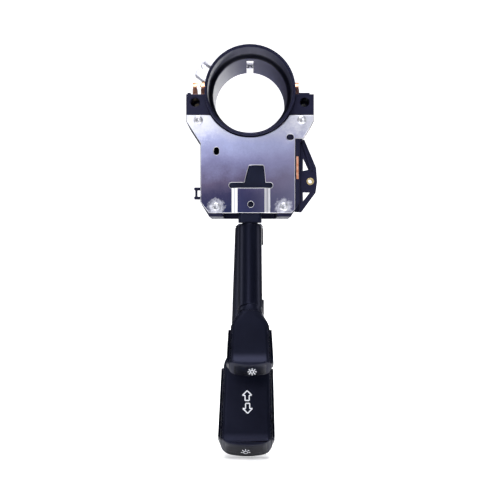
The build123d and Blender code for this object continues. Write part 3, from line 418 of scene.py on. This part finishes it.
# the housing's plastic, with painted reflection and painted shade in its collar
collar_look = moulded_plastic("housing_moulding", *BLACK, BLACK_ROUGHNESS, BLACK_SPECULAR, collar=True)
white_ink = pale_surface("white_ink", 0.35, [(0.3, (0.74, 0.76, 0.84)), (0.6, (0.92, 0.93, 0.97))],
                         depth=0.01, strength=0.5, roughness=0.5)
# near black, painted shade: the floors of the eyelets' holes and the seam at the paddles' lips
painted_shade_black = moulded_plastic("painted_shade_black", (0.002, 0.002, 0.004), (0.004, 0.004, 0.007), 0.7, 0.05)
paper = studio_white("studio_white", 0.25)
lit_paper = studio_white("studio_backdrop", 1.0)

for node, slot in slot_of.items():
    nodes[node].data.materials.clear()
    nodes[node].data.materials.append(looks[slot])

# ---------------------------------------------------------------- mesh helpers
WELD_DISTANCE = 1e-6
FLAT_ANGLE = math.radians(0.05)
ROUND_STEPS = (0, 30, 60, 90)
MITRE_LIMIT = 0.4
SHEET_FACING = 0.3


def at(x, y, z):
    return Vector((x, y, z)) * MM


def middle(box):
    return (box[0] + box[1]) / 2


def eased(share):
    """A smooth step from 0 to 1."""
    share = min(1.0, max(0.0, share))
    return share * share * (3 - 2 * share)


def scene_object(name, bm):
    """An object in the scene that takes over a finished bmesh."""
    mesh = bpy.data.meshes.new(name)
    bm.to_mesh(mesh)
    bm.free()
    made = bpy.data.objects.new(name, mesh)
    bpy.context.scene.collection.objects.link(made)
    return made


def place_piece(name, bm, materials, body, replaced=(), sharp=32):
    """A finished mesh, smooth but for its sharp edges, that rides on a body."""
    bmesh.ops.recalc_face_normals(bm, faces=bm.faces)
    made = scene_object(name, bm)
    made.data.shade_smooth()
    made.data.set_sharp_from_angle(angle=math.radians(sharp))
    for material in materials:
        made.data.materials.append(material)
    even = made.modifiers.new("even_shading", "WEIGHTED_NORMAL")
    even.keep_sharp = True
    even.weight = 100
    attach(made, body)
    if replaced:
        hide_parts(*replaced)
    return made


def welded(node, merge=True):
    """A CAD node's mesh with its split corners welded and, if asked, its flat triangles merged."""
    bm = bmesh.new()
    bm.from_mesh(nodes[node].data)
    bmesh.ops.remove_doubles(bm, verts=bm.verts, dist=WELD_DISTANCE)
    if merge:
        bmesh.ops.dissolve_limit(bm, angle_limit=FLAT_ANGLE, verts=bm.verts, edges=bm.edges)
    return bm


def islands(node):
    """The box of each separate solid of a CAD node, in metres."""
    bm = welded(node, merge=False)
    seen, boxes = set(), []
    for start in bm.verts:
        if start in seen:
            continue
        seen.add(start)
        stack, points = [start], []
        while stack:
            vert = stack.pop()
            points.append(vert.co.copy())
            for edge in vert.link_edges:
                other = edge.other_vert(vert)
                if other not in seen:
                    seen.add(other)
                    stack.append(other)
        boxes.append([Vector(pick(p[i] for p in points) for i in range(3)) for pick in (min, max)])
    bm.free()
    return boxes


def edge_angle(edge):
    return edge.calc_face_angle(0.0) if len(edge.link_faces) == 2 else 0.0


def soften(bm, width, segments=2, angle=35, clamp=False):
    """Rounds the edges sharper than an angle."""
    edges = [e for e in bm.edges if edge_angle(e) > math.radians(angle)]
    bmesh.ops.bevel(bm, geom=edges, offset=width * MM, offset_type="OFFSET", segments=segments,
                    profile=0.5, affect="EDGES", clamp_overlap=clamp, loop_slide=False)


def rim_offsets(region):
    """For each vertex on a region's rim, the move into the region that keeps its rim edges parallel."""
    members = set(region)
    inward = {}
    for face in region:
        for loop in face.loops:
            if sum(f in members for f in loop.edge.link_faces) == 1:
                ends = (loop.vert, loop.link_loop_next.vert)
                into = face.normal.cross(ends[1].co - ends[0].co).normalized()
                for vert in ends:
                    inward.setdefault(vert, []).append(into)
    moves = {}
    for vert, ways in inward.items():
        total = sum(ways, Vector())
        moves[vert] = total / max(MITRE_LIMIT, total.length_squared / len(ways))
    return moves


def round_rim(bm, region, width, into):
    """Rounds the rim of a region of faces over the sides below it, ring by ring; returns the new strips."""
    moves = rim_offsets(region)
    turns = [math.radians(step) for step in ROUND_STEPS]
    drops, strips = {}, []
    for start, stop in zip(turns, turns[1:]):
        inset = width * MM * (math.cos(start) - math.cos(stop))
        strip = bmesh.ops.inset_region(bm, faces=region, thickness=1e-9, use_boundary=True)["faces"]
        inner = {v for f in region for v in f.verts}
        links = {}
        for face in strip:
            for edge in face.edges:
                ends = sorted(edge.verts, key=lambda v: v in inner)
                if ends[0] not in inner and ends[1] in inner:
                    links[ends[1]] = ends[0]
        moves = {new: moves.get(old, moves.get(new, Vector())) for new, old in links.items()}
        for new, old in links.items():
            drops[old] = width * MM * (1 - math.sin(start))
            new.co = old.co + moves[new] * inset
        strips.append(strip)
    for vert, drop in drops.items():
        vert.co += into * drop
    return strips


def stand_in(node, bm, sharp=32):
    """A reworked copy of a CAD node, which stands for it."""
    slot = slot_of[node]
    place_piece(node + "_skin", bm, [looks[slot]], body_of[node], (node,), sharp)


def sheet_skin(node, width, sides, sharp=32):
    """A sheet node with the outline and holes rounded on its -Y side, its +Y side or both."""
    bm = welded(node)
    for side in sides:
        region = [f for f in bm.faces if f.normal.y * side > SHEET_FACING]
        round_rim(bm, region, width, Vector((0, -side, 0)))
    stand_in(node, bm, sharp)


def edge_skin(node, width):
    """A CAD node with rounded edges."""
    bm = welded(node)
    soften(bm, width, clamp=True)
    stand_in(node, bm)


def band_faces(bm, rings):
    """Quads between rings of vertices, each ring closed."""
    for low, high in zip(rings, rings[1:]):
        for i in range(len(low)):
            j = (i + 1) % len(low)
            bm.faces.new((low[i], low[j], high[j], high[i]))


def closed_skin(bm, rings):
    """A closed skin over rings of vertices, with flat ends; returns the last end."""
    band_faces(bm, rings)
    bm.faces.new(rings[0][::-1])
    return bm.faces.new(rings[-1])


def turned(bm, place, axis, profile, lobes=6, segments=40, sweep=(0, 360), painted_shade_end=False):
    """A solid round an axis, from a profile of radii, heights and, where it is fluted, lobe depths."""
    axis = Vector(axis).normalized()
    side = axis.orthogonal().normalized()
    up = axis.cross(side)
    whole = sweep[1] - sweep[0] >= 360
    count = segments if whole else segments + 1
    rings = []
    for radius, height, *lobe in profile:
        ring = []
        for i in range(count):
            turn = math.radians(sweep[0] + (sweep[1] - sweep[0]) * i / segments)
            reach = radius + (lobe[0] * math.cos(lobes * turn) if lobe else 0)
            spoke = side * (math.cos(turn) * reach) + up * (math.sin(turn) * reach)
            ring.append(bm.verts.new(place + (spoke + axis * height) * MM))
        rings.append(ring)
    if whole:
        end = closed_skin(bm, rings)
        # the end cap takes the second material, painted shade at the bottom of a hole
        if painted_shade_end:
            end.material_index = 1
        return
    for low, high in zip(rings, rings[1:]):
        for i in range(segments):
            bm.faces.new((low[i], low[i + 1], high[i + 1], high[i]))
    for end in (0, -1):
        bm.faces.new([ring[end] for ring in rings])


def cut_away(bm, cutters):
    """The mesh with other closed meshes cut out of it."""
    stock, tool = scene_object("stock", bm), scene_object("tool", cutters)
    cut = stock.modifiers.new("cut", "BOOLEAN")
    cut.operation = "DIFFERENCE"
    cut.object = tool
    cut.solver = "EXACT"
    bpy.context.view_layer.update()
    done = bpy.data.meshes.new_from_object(stock.evaluated_get(bpy.context.evaluated_depsgraph_get()))
    result = bmesh.new()
    result.from_mesh(done)
    for item in (stock, tool):
        bpy.data.objects.remove(item)
    return result


# ---------------------------------------------------------------- housing
STRIP_HOLE_RADIUS = 1.75
STRIP_HOLE_DEPTH, STRIP_HOLE_CUTTER = 2.2, 3.0
SMALL_HOLE_X, SMALL_HOLE_Z = -4.6, -65.2
SMALL_HOLE_RADIUS = 0.95
SMALL_HOLE_DEPTH, SMALL_HOLE_CUTTER = 2.4, 4.0
HOLE_SEGMENTS = 24
HOUSING_EDGE = 0.25
HOUSING_FACING = 0.97
# each outer side: its sign along Y, and the Y past which its faces are outside
HOUSING_SIDES = ((-1, 5.0), (1, REAR_Y - 0.1))

strip_boxes = islands("contact_strips")
cuts = bmesh.new()
for box in strip_boxes:
    floor = Vector((middle(box).x, (PLATFORM_Y - STRIP_HOLE_DEPTH) * MM, middle(box).z))
    turned(cuts, floor, REAR, [(STRIP_HOLE_RADIUS, 0), (STRIP_HOLE_RADIUS, STRIP_HOLE_CUTTER)],
           segments=HOLE_SEGMENTS)
turned(cuts, at(SMALL_HOLE_X, PLATFORM_Y - SMALL_HOLE_DEPTH, SMALL_HOLE_Z), REAR,
       [(SMALL_HOLE_RADIUS, 0), (SMALL_HOLE_RADIUS, SMALL_HOLE_CUTTER)], segments=HOLE_SEGMENTS)
housing_mesh = cut_away(welded("housing", merge=False), cuts)
bmesh.ops.triangulate(housing_mesh, faces=housing_mesh.faces, quad_method="BEAUTY", ngon_method="BEAUTY")
for side, limit in HOUSING_SIDES:
    outer = [f for f in housing_mesh.faces
             if f.normal.y * side > HOUSING_FACING and side * (f.calc_center_median().y - limit * MM) > 0]
    round_rim(housing_mesh, outer, HOUSING_EDGE, Vector((0, -side, 0)))
place_piece("housing_skin", housing_mesh, [collar_look], body_of["housing"],
            ("housing",), sharp=20)

# ---------------------------------------------------------------- other pieces with softened edges
PLATE_EDGE, BRACKET_EDGE, GUSSET_EDGE = 0.32, 0.3, 0.25
EDGE_WIDTHS = {
    "side_clip": 0.3, "clamp_band": 0.2, "turn_arm": 0.25, "light_yoke": 0.4, "spindle": 0.2,
    "turn_sleeve": 0.3, "light_sleeve": 0.3, "clamp_nut": 0.3, "side_strip": 0.1,
}
sheet_skin("cover_plate", PLATE_EDGE, (-1,), sharp=15)
sheet_skin("side_bracket", BRACKET_EDGE, (-1, 1))
for node, width in EDGE_WIDTHS.items():
    edge_skin(node, width)

GUSSET = [(26.9, -55.4), (28.9, -55.4), (28.9, -65.9), (26.2, -65.9), (24.4, -64.6), (26.9, -62.0)]
GUSSET_FRONT_Y, GUSSET_REAR_Y = 4.2, 6.2
gusset = bmesh.new()
closed_skin(gusset, [[gusset.verts.new(at(x, y, z)) for x, z in GUSSET]
                     for y in (GUSSET_FRONT_Y, GUSSET_REAR_Y)])
soften(gusset, GUSSET_EDGE)
place_piece("bracket_gusset", gusset, [looks["black_moulding"]], "switch_body")

# ---------------------------------------------------------------- column contacts
# the (y, z) path of the folded sheet, from the lug up
CURL = [(5.6, -1.6), (5.6, 1.0), (5.5, 2.6), (4.2, 3.9), (2.7, 4.9), (2.3, 5.9), (3.3, 6.9),
        (4.9, 7.4), (5.6, 8.1), (5.6, 8.9)]
CURL_SHEET, CURL_EDGE = 0.45, 0.1
CURL_WIDTH = 3.0
CURL_WAIST, CURL_WAIST_Z, CURL_WAIST_RUN = 0.9, 5.4, 0.8


def smooth_line(points, steps=5):
    """Points along a smooth curve through the given ones."""
    padded = [points[0], *points, points[-1]]
    line = []
    for a, b, c, d in zip(padded, padded[1:], padded[2:], padded[3:]):
        for i in range(steps):
            t = i / steps
            line.append(tuple(0.5 * (2 * q + (r - p) * t + (2 * p - 5 * q + 4 * r - v) * t * t
                                     + (3 * q - p - 3 * r + v) * t ** 3)
                              for p, q, r, v in zip(a, b, c, d)))
    return [*line, points[-1]]


def bent_strip(bm, x, line, widths, thickness):
    """A strip of sheet, square to X, that follows a line of (y, z) points with a width at each."""
    rings = []
    for i, (y, z) in enumerate(line):
        before, after = line[max(i - 1, 0)], line[min(i + 1, len(line) - 1)]
        along = Vector((after[0] - before[0], after[1] - before[1])).normalized()
        across = Vector((-along.y, along.x)) * thickness / 2
        half = widths[i] / 2
        rings.append([bm.verts.new(at(x + sx * half, y + sy * across.x, z + sy * across.y))
                      for sx, sy in ((-1, -1), (1, -1), (1, 1), (-1, 1))])
    closed_skin(bm, rings)


curls = bmesh.new()
curl_line = smooth_line(CURL)
curl_widths = [CURL_WIDTH - CURL_WAIST * math.exp(-((z - CURL_WAIST_Z) / CURL_WAIST_RUN) ** 2)
               for _, z in curl_line]
for box in islands("column_contacts"):
    bent_strip(curls, middle(box).x / MM, curl_line, curl_widths, CURL_SHEET)
soften(curls, CURL_EDGE, segments=1, angle=60)
place_piece("column_contact_curls", curls, [looks["copper"]], "switch_body",
            ("column_contacts",))

# ---------------------------------------------------------------- bulb under the band
BULB_PLACE = (0, 25.0, 23.6)
BULB = [(1.0, 0), (1.25, 0.3), (1.25, 0.6), (1.6, 0.9), (1.75, 1.3), (1.6, 1.8), (1.1, 2.15), (0.4, 2.3)]
bulb = bmesh.new()
turned(bulb, at(*BULB_PLACE), -UP, BULB, segments=32)
place_piece("band_bulb", bulb, [looks["band_steel"]], "switch_body")

# ---------------------------------------------------------------- paddles
# where the blade is cut across, so that it can be scooped: each run is measured from the lip
BLADE_CUTS = (0.8, 1.8, 3.0, 4.2, 5.6, 7.0, 9.0, 12.0, 16.0, 20.0, 25.0, 30.0, 36.0, 42.0)
BLADE_FACING, END_FACING = 0.55, 0.45
PADDLE_RIM = 0.7
SEAM_RUN, SEAM_FACING = 2.5, 0.3


def paddle_skin(node, scoop_depth, lip_run, scoop_length):
    """A paddle whose blade is scooped and rises to a rounded lip, with a fine line painted near black at the
    end face, painted shade of the seam there.
    """
    bm = welded(node)
    blade = max((f for f in bm.faces if f.normal.y < -0.8), key=lambda f: f.calc_area())
    out = blade.normal.copy()
    down = Vector((0, out.z, -out.y)).normalized()
    if down.z > 0:
        down.negate()
    lip = max(v.co.dot(down) for v in blade.verts)
    start = blade.verts[0].co.copy()

    def blade_faces():
        return [f for f in bm.faces
                if f.normal.dot(out) > BLADE_FACING and f.normal.dot(down) < END_FACING]

    for run in BLADE_CUTS:
        place = start + down * (lip - run * MM - start.dot(down))
        region = blade_faces()
        geom = {e for f in region for e in f.edges} | {v for f in region for v in f.verts} | set(region)
        bmesh.ops.bisect_plane(bm, geom=list(geom), plane_co=place, plane_no=down)
    bm.normal_update()
    region = [f for f in blade_faces() if lip - f.calc_center_median().dot(down) < scoop_length * MM]
    strips = round_rim(bm, region, PADDLE_RIM, -out)
    # the first ring at the lip is painted near black, painted shade of the seam between blade and end face
    for face in strips[0]:
        at_lip = lip - face.calc_center_median().dot(down) < SEAM_RUN * MM
        if at_lip and face.normal.dot(down) > SEAM_FACING:
            face.material_index = 1
    moved = [*region, *(f for strip in strips for f in strip if f.is_valid)]
    for vert in {v for f in moved for v in f.verts}:
        away = (lip - vert.co.dot(down)) / MM
        sink = eased(away / lip_run) * (1 - eased((away - lip_run) / (scoop_length - lip_run)))
        vert.co -= out * scoop_depth * MM * sink
    return place_piece(node + "_skin", bm, [looks["lever_plastic"], painted_shade_black], body_of[node],
                       (node,), sharp=50)


light_paddle = paddle_skin("light_paddle", scoop_depth=0.9, lip_run=7.0, scoop_length=30.0)
turn_paddle = paddle_skin("turn_paddle", scoop_depth=1.1, lip_run=8.0, scoop_length=46.0)

# ---------------------------------------------------------------- screws, pins and rivets
SCREW_HEAD = [(2.45, 0.0), (2.5, 0.25), (2.5, 0.75), (2.3, 1.15), (1.95, 1.42), (1.55, 1.55),
              (1.42, 1.56, 0.18), (1.30, 1.50, 0.22), (1.18, 0.75, 0.20), (0.6, 0.60, 0.05), (0.1, 0.55)]
LARGE_PIN = [(2.7, 0.0), (2.7, 1.0), (2.5, 1.3), (2.1, 1.4), (1.8, 1.45), (1.75, 2.0), (1.95, 2.3),
             (1.95, 7.4), (1.9, 8.4), (1.6, 9.3), (1.1, 9.8), (0.4, 9.9)]
SMALL_PIN = [(1.25, 0.0), (1.25, 0.9), (1.15, 1.1), (1.05, 1.2), (1.05, 2.6), (1.2, 2.9),
             (1.25, 7.8), (1.15, 8.9), (0.85, 9.6), (0.3, 9.9)]
DISC_RIVET = [(1.45, 0), (1.5, 0.2), (1.42, 0.5), (1.15, 0.66), (0.6, 0.70), (0.2, 0.66)]
EYELET = [(1.45, 0), (1.5, 0.25), (1.42, 0.55), (1.2, 0.7), (0.98, 0.6), (0.86, 0.3), (0.84, 0.04)]
HALF_LID = [(0.05, 0.1), (0.05, 0.52), (0.8, 0.46), (0.86, 0.1)]
HALF_LID_SWEEP = (20, 200)
# the kind of each rivet, by its (x, z) place
RIVET_KINDS = {
    (20.4, -29.4): "eyelet", (20.4, -33.0): "eyelet", (15.9, -35.6): "half", (9.4, -36.2): "disc",
    (21.4, -43.2): "disc", (12.9, -29.0): "eyelet", (4.9, -46.3): "eyelet", (-14.6, -44.6): "eyelet",
    (-15.1, -47.5): "disc", (-11.6, -36.7): "half", (-17.6, -30.3): "half", (-21.6, -30.0): "eyelet",
    (-21.1, -34.6): "eyelet",
}
SLIVER = [(1.2, 0), (1.7, 0), (1.7, 2.5), (1.45, 2.7), (1.2, 2.5)]
SLIVER_SWEEP = (-60, 70)
SLIVER_DEPTH = 2.1


def turned_set(name, node, look, y, axis, profile, segments=40):
    """The same turned solid at the place of each solid of a CAD node, which it stands for."""
    bm = bmesh.new()
    for box in islands(node):
        turned(bm, Vector((middle(box).x, y * MM, middle(box).z)), axis, profile, segments=segments)
    place_piece(name, bm, [looks[look]], "switch_body", (node,))


def rivet_kind(spot):
    return RIVET_KINDS[min(RIVET_KINDS, key=lambda place: (at(place[0], 0, place[1]) - spot).length)]


turned_set("cover_screw_heads", "cover_screws", "plated_steel", PLATE_FRONT_Y, FRONT, SCREW_HEAD, segments=48)
turned_set("large_pin_set", "large_pins", "tinned_pin", PLATFORM_Y, REAR, LARGE_PIN)
turned_set("small_pin_set", "small_pins", "tinned_pin", PLATFORM_Y, REAR, SMALL_PIN, segments=32)

rivets = bmesh.new()
for box in islands("contact_rivets"):
    spot = Vector((middle(box).x, 0, middle(box).z))
    seat = spot + REAR * REAR_Y * MM
    kind = rivet_kind(spot)
    if kind == "disc":
        turned(rivets, seat, REAR, DISC_RIVET, segments=32)
    else:
        # an eyelet's end cap is painted near black, painted shade inside its hole
        turned(rivets, seat, REAR, EYELET, segments=32, painted_shade_end=True)
    if kind == "half":
        turned(rivets, seat, REAR, HALF_LID, segments=16, sweep=HALF_LID_SWEEP)
place_piece("rivet_set", rivets, [looks["copper"], painted_shade_black], "switch_body",
            ("contact_rivets",))

# ---------------------------------------------------------------- terminal tabs
# each tab: X, Z, length, and its turn from +X in degrees
TABS = (
    (-1.1, -42.0, 5.0, 20.0),
    (-9.1, -31.2, 3.4, 65.0),
    (9.4, -30.8, 3.4, 100.0),
    (-12.8, -29.0, 3.4, 35.0),
)
TAB_HALF_WIDTH = 0.95
TAB_SHEET, TAB_EDGE = 0.35, 0.08
TAB_FOOT, TAB_ARCH = 0.25, 0.65
TAB_STATIONS = 6
TAB_TIP = 0.12


def arched_strip(bm, x, z, length, turn, from_share, to_share):
    """A stretch of a strip that arches over the rear face; -0.5 and 0.5 are the strip's ends."""
    way = Vector((math.cos(math.radians(turn)), 0, math.sin(math.radians(turn))))
    aside = Vector((-way.z, 0, way.x))
    rings = []
    for i in range(TAB_STATIONS + 1):
        share = from_share + (to_share - from_share) * i / TAB_STATIONS
        top = TAB_FOOT + TAB_ARCH * math.sin(math.pi * min(1.0, max(0.0, share + 0.5)))
        centre = at(x, REAR_Y, z) + way * share * length * MM
        rings.append([bm.verts.new(centre + (aside * sx * TAB_HALF_WIDTH + REAR * rise) * MM)
                      for sx, rise in ((-1, top - TAB_SHEET), (1, top - TAB_SHEET), (1, top), (-1, top))])
    closed_skin(bm, rings)


tabs, tips = bmesh.new(), bmesh.new()
for tab in TABS:
    arched_strip(tabs, *tab, -0.5, TAB_TIP)
    arched_strip(tips, *tab, TAB_TIP, 0.5)
soften(tabs, TAB_EDGE, segments=1, angle=60)
soften(tips, TAB_EDGE, segments=1, angle=60)
place_piece("terminal_tab_strips", tabs, [looks["copper"]], "switch_body", ("terminal_tabs",))
place_piece("terminal_tab_tips", tips, [looks["plated_steel"]], "switch_body")

# ---------------------------------------------------------------- bar in the rear pocket
POCKET_BAR_PLACE = (22.6, REAR_Y - 0.6, -47.6)
POCKET_BAR_SIZE = (3.2, 1.0, 0.9)
POCKET_BAR_EDGE = 0.15
pocket_bar = bmesh.new()
bmesh.ops.create_cube(pocket_bar, size=1.0, matrix=Matrix.Translation(at(*POCKET_BAR_PLACE))
                      @ Matrix.Diagonal((*at(*POCKET_BAR_SIZE), 1)))
soften(pocket_bar, POCKET_BAR_EDGE)
place_piece("pocket_bar", pocket_bar, [looks["brass"]], "switch_body")

# ---------------------------------------------------------------- pawl spring
COIL_TURNS = 3.5
COIL_STEPS = 24
WIRE_RADIUS = 0.3
WIRE_SIDES = 10

spring_low, spring_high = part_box("pawl_spring")
spring_size = (spring_high - spring_low) / MM
spring_foot = Vector((*middle((spring_low, spring_high)).xy, spring_low.z))
coil_radius = spring_size.x / 2 - WIRE_RADIUS
coil_length = spring_size.z - 2 * WIRE_RADIUS
coil = bmesh.new()
rings = []
for i in range(int(COIL_TURNS * COIL_STEPS) + 1):
    turn = 2 * math.pi * i / COIL_STEPS
    out = Vector((math.cos(turn), math.sin(turn), 0))
    height = coil_length * eased(i / (COIL_TURNS * COIL_STEPS)) + WIRE_RADIUS
    centre = spring_foot + (out * coil_radius + UP * height) * MM
    rings.append([coil.verts.new(centre + (out * math.cos(a) + UP * math.sin(a)) * WIRE_RADIUS * MM)
                  for a in [2 * math.pi * k / WIRE_SIDES for k in range(WIRE_SIDES)]])
closed_skin(coil, rings)
spring = place_piece("pawl_spring_coil", coil, [looks["spring_steel"]], body_of["pawl_spring"],
                     ("pawl_spring",))
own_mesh(spring)

# ---------------------------------------------------------------- contact slivers in the pin platform
slivers = bmesh.new()
for box in strip_boxes:
    foot = Vector((middle(box).x, (PLATFORM_Y - SLIVER_DEPTH) * MM, middle(box).z))
    turned(slivers, foot, REAR, SLIVER, segments=20, sweep=SLIVER_SWEEP)
place_piece("contact_slivers", slivers, [looks["copper"]], "switch_body",
            ("contact_strips",))

# ---------------------------------------------------------------- clamp screw
CLAMP_ANGLE = math.radians(36.0)
CLAMP_DISTANCE = 28.0
CLAMP_Y = 25.0
THREAD_FROM, THREAD_TO, THREAD_PITCH = -9.2, 5.0, 0.5
THREAD_CREST, THREAD_ROOT = 1.88, 1.62
SCREW_TIP = [(1.3, -9.6), (1.6, -9.4)]
CLAMP_HEAD = [(3.2, 5.2), (3.4, 5.35), (3.4, 8.2), (3.1, 8.7), (2.4, 8.8), (1.85, 8.75, 0.12),
              (1.7, 6.7, 0.12), (0.3, 6.6)]

clamp_axis = -Vector((math.sin(CLAMP_ANGLE), 0, math.cos(CLAMP_ANGLE)))
clamp_centre = at(-CLAMP_DISTANCE * math.cos(CLAMP_ANGLE), CLAMP_Y, CLAMP_DISTANCE * math.sin(CLAMP_ANGLE))
shaft = list(SCREW_TIP)
height = THREAD_FROM
while height < THREAD_TO:
    shaft += [(THREAD_CREST, height), (THREAD_CREST, height + 0.12),
              (THREAD_ROOT, height + 0.3), (THREAD_ROOT, height + 0.38)]
    height += THREAD_PITCH
screw = bmesh.new()
turned(screw, clamp_centre, clamp_axis, shaft, segments=32)
turned(screw, clamp_centre, clamp_axis, CLAMP_HEAD, segments=48)
place_piece("clamp_screw_piece", screw, [looks["brass_screw"]], "switch_body",
            ("clamp_screw",))

# ---------------------------------------------------------------- printed signs
SIGN_START_Y = -60.0
INK_RISE = 0.05
ARROW_STROKE = 0.62
LENS_SIDES = 14
RAYS = 8


def print_sign(name, piece, node, outlines):
    """Flat shapes seen from the front, laid on a piece's surface as ink."""
    faces = bmesh.new()
    faces.from_mesh(piece.data)
    tree = BVHTree.FromBMesh(faces)
    faces.free()
    bm = bmesh.new()
    for outline in outlines:
        bm.faces.new([bm.verts.new(at(x, SIGN_START_Y, z)) for x, z in outline])
    bmesh.ops.triangulate(bm, faces=bm.faces)
    for vert in bm.verts:
        hit, normal, _, _ = tree.ray_cast(vert.co, REAR)
        if hit is None:
            hit, normal, _, _ = tree.find_nearest(vert.co)
        if normal.y > 0:
            normal = -normal
        vert.co = hit + normal * INK_RISE * MM
    for face in bm.faces:
        face.normal_update()
        if face.normal.y > 0:
            face.normal_flip()
    sign = scene_object(name, bm)
    sign.data.materials.append(white_ink)
    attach(sign, body_of[node])


def bar(x0, z0, x1, z1, width):
    """The corners of a straight stroke."""
    along = Vector((x1 - x0, z1 - z0)).normalized()
    across = Vector((-along.y, along.x)) * width / 2
    return [(x0 + across.x, z0 + across.y), (x1 + across.x, z1 + across.y),
            (x1 - across.x, z1 - across.y), (x0 - across.x, z0 - across.y)]


def loop_strokes(points, width):
    return [bar(*points[i], *points[(i + 1) % len(points)], width) for i in range(len(points))]


def arrow(x, z, way):
    """An outlined arrow that points up (way 1) or down (way -1): a head wider than its square shaft."""
    half, neck, tip, shoulder, shaft = 2.6, 1.15, 2.6, 0.15, 2.5
    points = [(0, tip), (half, shoulder), (neck, shoulder), (neck, -shaft),
              (-neck, -shaft), (-neck, shoulder), (-half, shoulder)]
    return loop_strokes([(x + px, z + pz * way) for px, pz in points], ARROW_STROKE)


def lamp_sign(x, z, size, rays=RAYS):
    """The light sign: a round lens with short rays round it."""
    lens = [(x + 0.42 * size * math.cos(a), z + 0.34 * size * math.sin(a))
            for a in [2 * math.pi * i / LENS_SIDES for i in range(LENS_SIDES)]]
    strokes = loop_strokes(lens, 0.14 * size)
    for i in range(rays):
        a = 2 * math.pi * i / RAYS
        strokes.append(bar(x + 0.62 * size * math.cos(a), z + 0.55 * size * math.sin(a),
                           x + 1.0 * size * math.cos(a), z + 0.88 * size * math.sin(a), 0.17 * size))
    return strokes


print_sign("turn_arrows", turn_paddle, "turn_paddle", arrow(-1.6, -168.5, 1) + arrow(-1.3, -175.0, -1))
print_sign("light_sign_short", light_paddle, "light_paddle", lamp_sign(1.1, -151.9, 2.4))
print_sign("light_sign_long", turn_paddle, "turn_paddle", lamp_sign(-2.4, -198.4, 2.6, rays=5))

# ---------------------------------------------------------------- floor and lights, in metres
FLOOR_GAP = 0.0005
# radii and heights above the floor
FLOOR = [(0.01, 0), (0.25, 0), (0.5, 0), (0.51, -0.002)]
BACKDROP = [(0.01, -0.004), (1.5, -0.004), (2.0, 0.2), (2.2, 0.7), (2.2, 2.4)]
LIGHT_TARGET = Vector((0.0, 0.0, -0.09))
# each softbox: its name, place, width, height and watts
SOFTBOXES = (
    ("key_front", (-0.15, -0.45, 0.90), 0.7, 0.35, 8),
    ("key_rear", (0.15, 0.45, 0.90), 0.7, 0.35, 8),
    ("fill_front", (-0.25, -0.95, 0.10), 0.35, 0.5, 2.0),
    ("fill_rear", (0.25, 0.95, 0.10), 0.35, 0.5, 2.0),
    ("top", (0.0, 0.0, 0.9), 0.6, 0.6, 6),
    ("left", (-0.9, 0.0, 0.1), 0.3, 0.6, 1.6),
    ("right", (0.9, 0.0, 0.1), 0.3, 0.6, 1.6),
)


def studio_surface(name, profile, material):
    """A round stage surface, open at its outer rim, from a profile of radii and heights."""
    ground = Vector((0, 0, cad_box[0].z - FLOOR_GAP))
    bm = bmesh.new()
    turned(bm, ground, UP, [(radius / MM, height / MM) for radius, height in profile], segments=96)
    bm.faces.ensure_lookup_table()
    bmesh.ops.delete(bm, geom=[bm.faces[-1]], context="FACES_ONLY")
    made = scene_object(name, bm)
    made.data.shade_smooth()
    made.data.materials.append(material)
    return made


def softbox(name, place, width, height, watts):
    """A rectangular soft light that points at the object's middle."""
    lamp = bpy.data.lights.new(name, "AREA")
    lamp.shape = "RECTANGLE"
    lamp.size, lamp.size_y = width, height
    lamp.energy = watts
    box = bpy.data.objects.new(name, lamp)
    box.location = place
    box.rotation_euler = (LIGHT_TARGET - Vector(place)).to_track_quat("-Z", "Y").to_euler()
    bpy.context.scene.collection.objects.link(box)


studio_surface("floor", FLOOR, paper)
backdrop = studio_surface("backdrop", BACKDROP, lit_paper)
backdrop.visible_diffuse = False
backdrop.visible_glossy = False
backdrop.visible_shadow = False
for row in SOFTBOXES:
    softbox(*row)

# the world's light: dim at the sides and below, pale overhead
SKY_LOW = (0.60, (0.12, 0.12, 0.14, 1.0))
SKY_HIGH = (0.95, (0.60, 0.61, 0.66, 1.0))
world = bpy.data.worlds.new("studio")
world.use_nodes = True
sky = world.node_tree
sky_place = sky.nodes.new("ShaderNodeTexCoord")
sky_axes = sky.nodes.new("ShaderNodeSeparateXYZ")
sky_shade = sky.nodes.new("ShaderNodeValToRGB")
sky.links.new(sky_place.outputs["Generated"], sky_axes.inputs[0])
sky.links.new(sky_axes.outputs["Z"], sky_shade.inputs[0])
sky.links.new(sky_shade.outputs["Color"], sky.nodes["Background"].inputs["Color"])
for stop, (place, colour) in zip(sky_shade.color_ramp.elements, (SKY_LOW, SKY_HIGH)):
    stop.position, stop.color = place, colour
sky.nodes["Background"].inputs["Strength"].default_value = 1.0
bpy.context.scene.world = world
bpy.context.scene.view_settings.view_transform = "Standard"

# ---------------------------------------------------------------- camera
# the photograph: its side in pixels, the focal length in its pixels, and its scale at the collar's rim
PHOTO_SIDE = 500.0
FOCAL_PIXELS = 730.0
PIXELS_PER_MM = 1.83
SENSOR = 36.0
RIM_FRONT_Y = -17.0
EYE_Z = -87.7

lens = bpy.data.cameras.new("camera")
lens.sensor_width = SENSOR
lens.lens = SENSOR * FOCAL_PIXELS / PHOTO_SIDE
lens.clip_start = 0.01
lens.clip_end = 20.0
camera = bpy.data.objects.new("camera", lens)
camera.location = at(0.0, RIM_FRONT_Y - FOCAL_PIXELS / PIXELS_PER_MM, EYE_Z)
camera.rotation_euler = (math.radians(90), 0, 0)
bpy.context.scene.collection.objects.link(camera)
bpy.context.scene.camera = camera
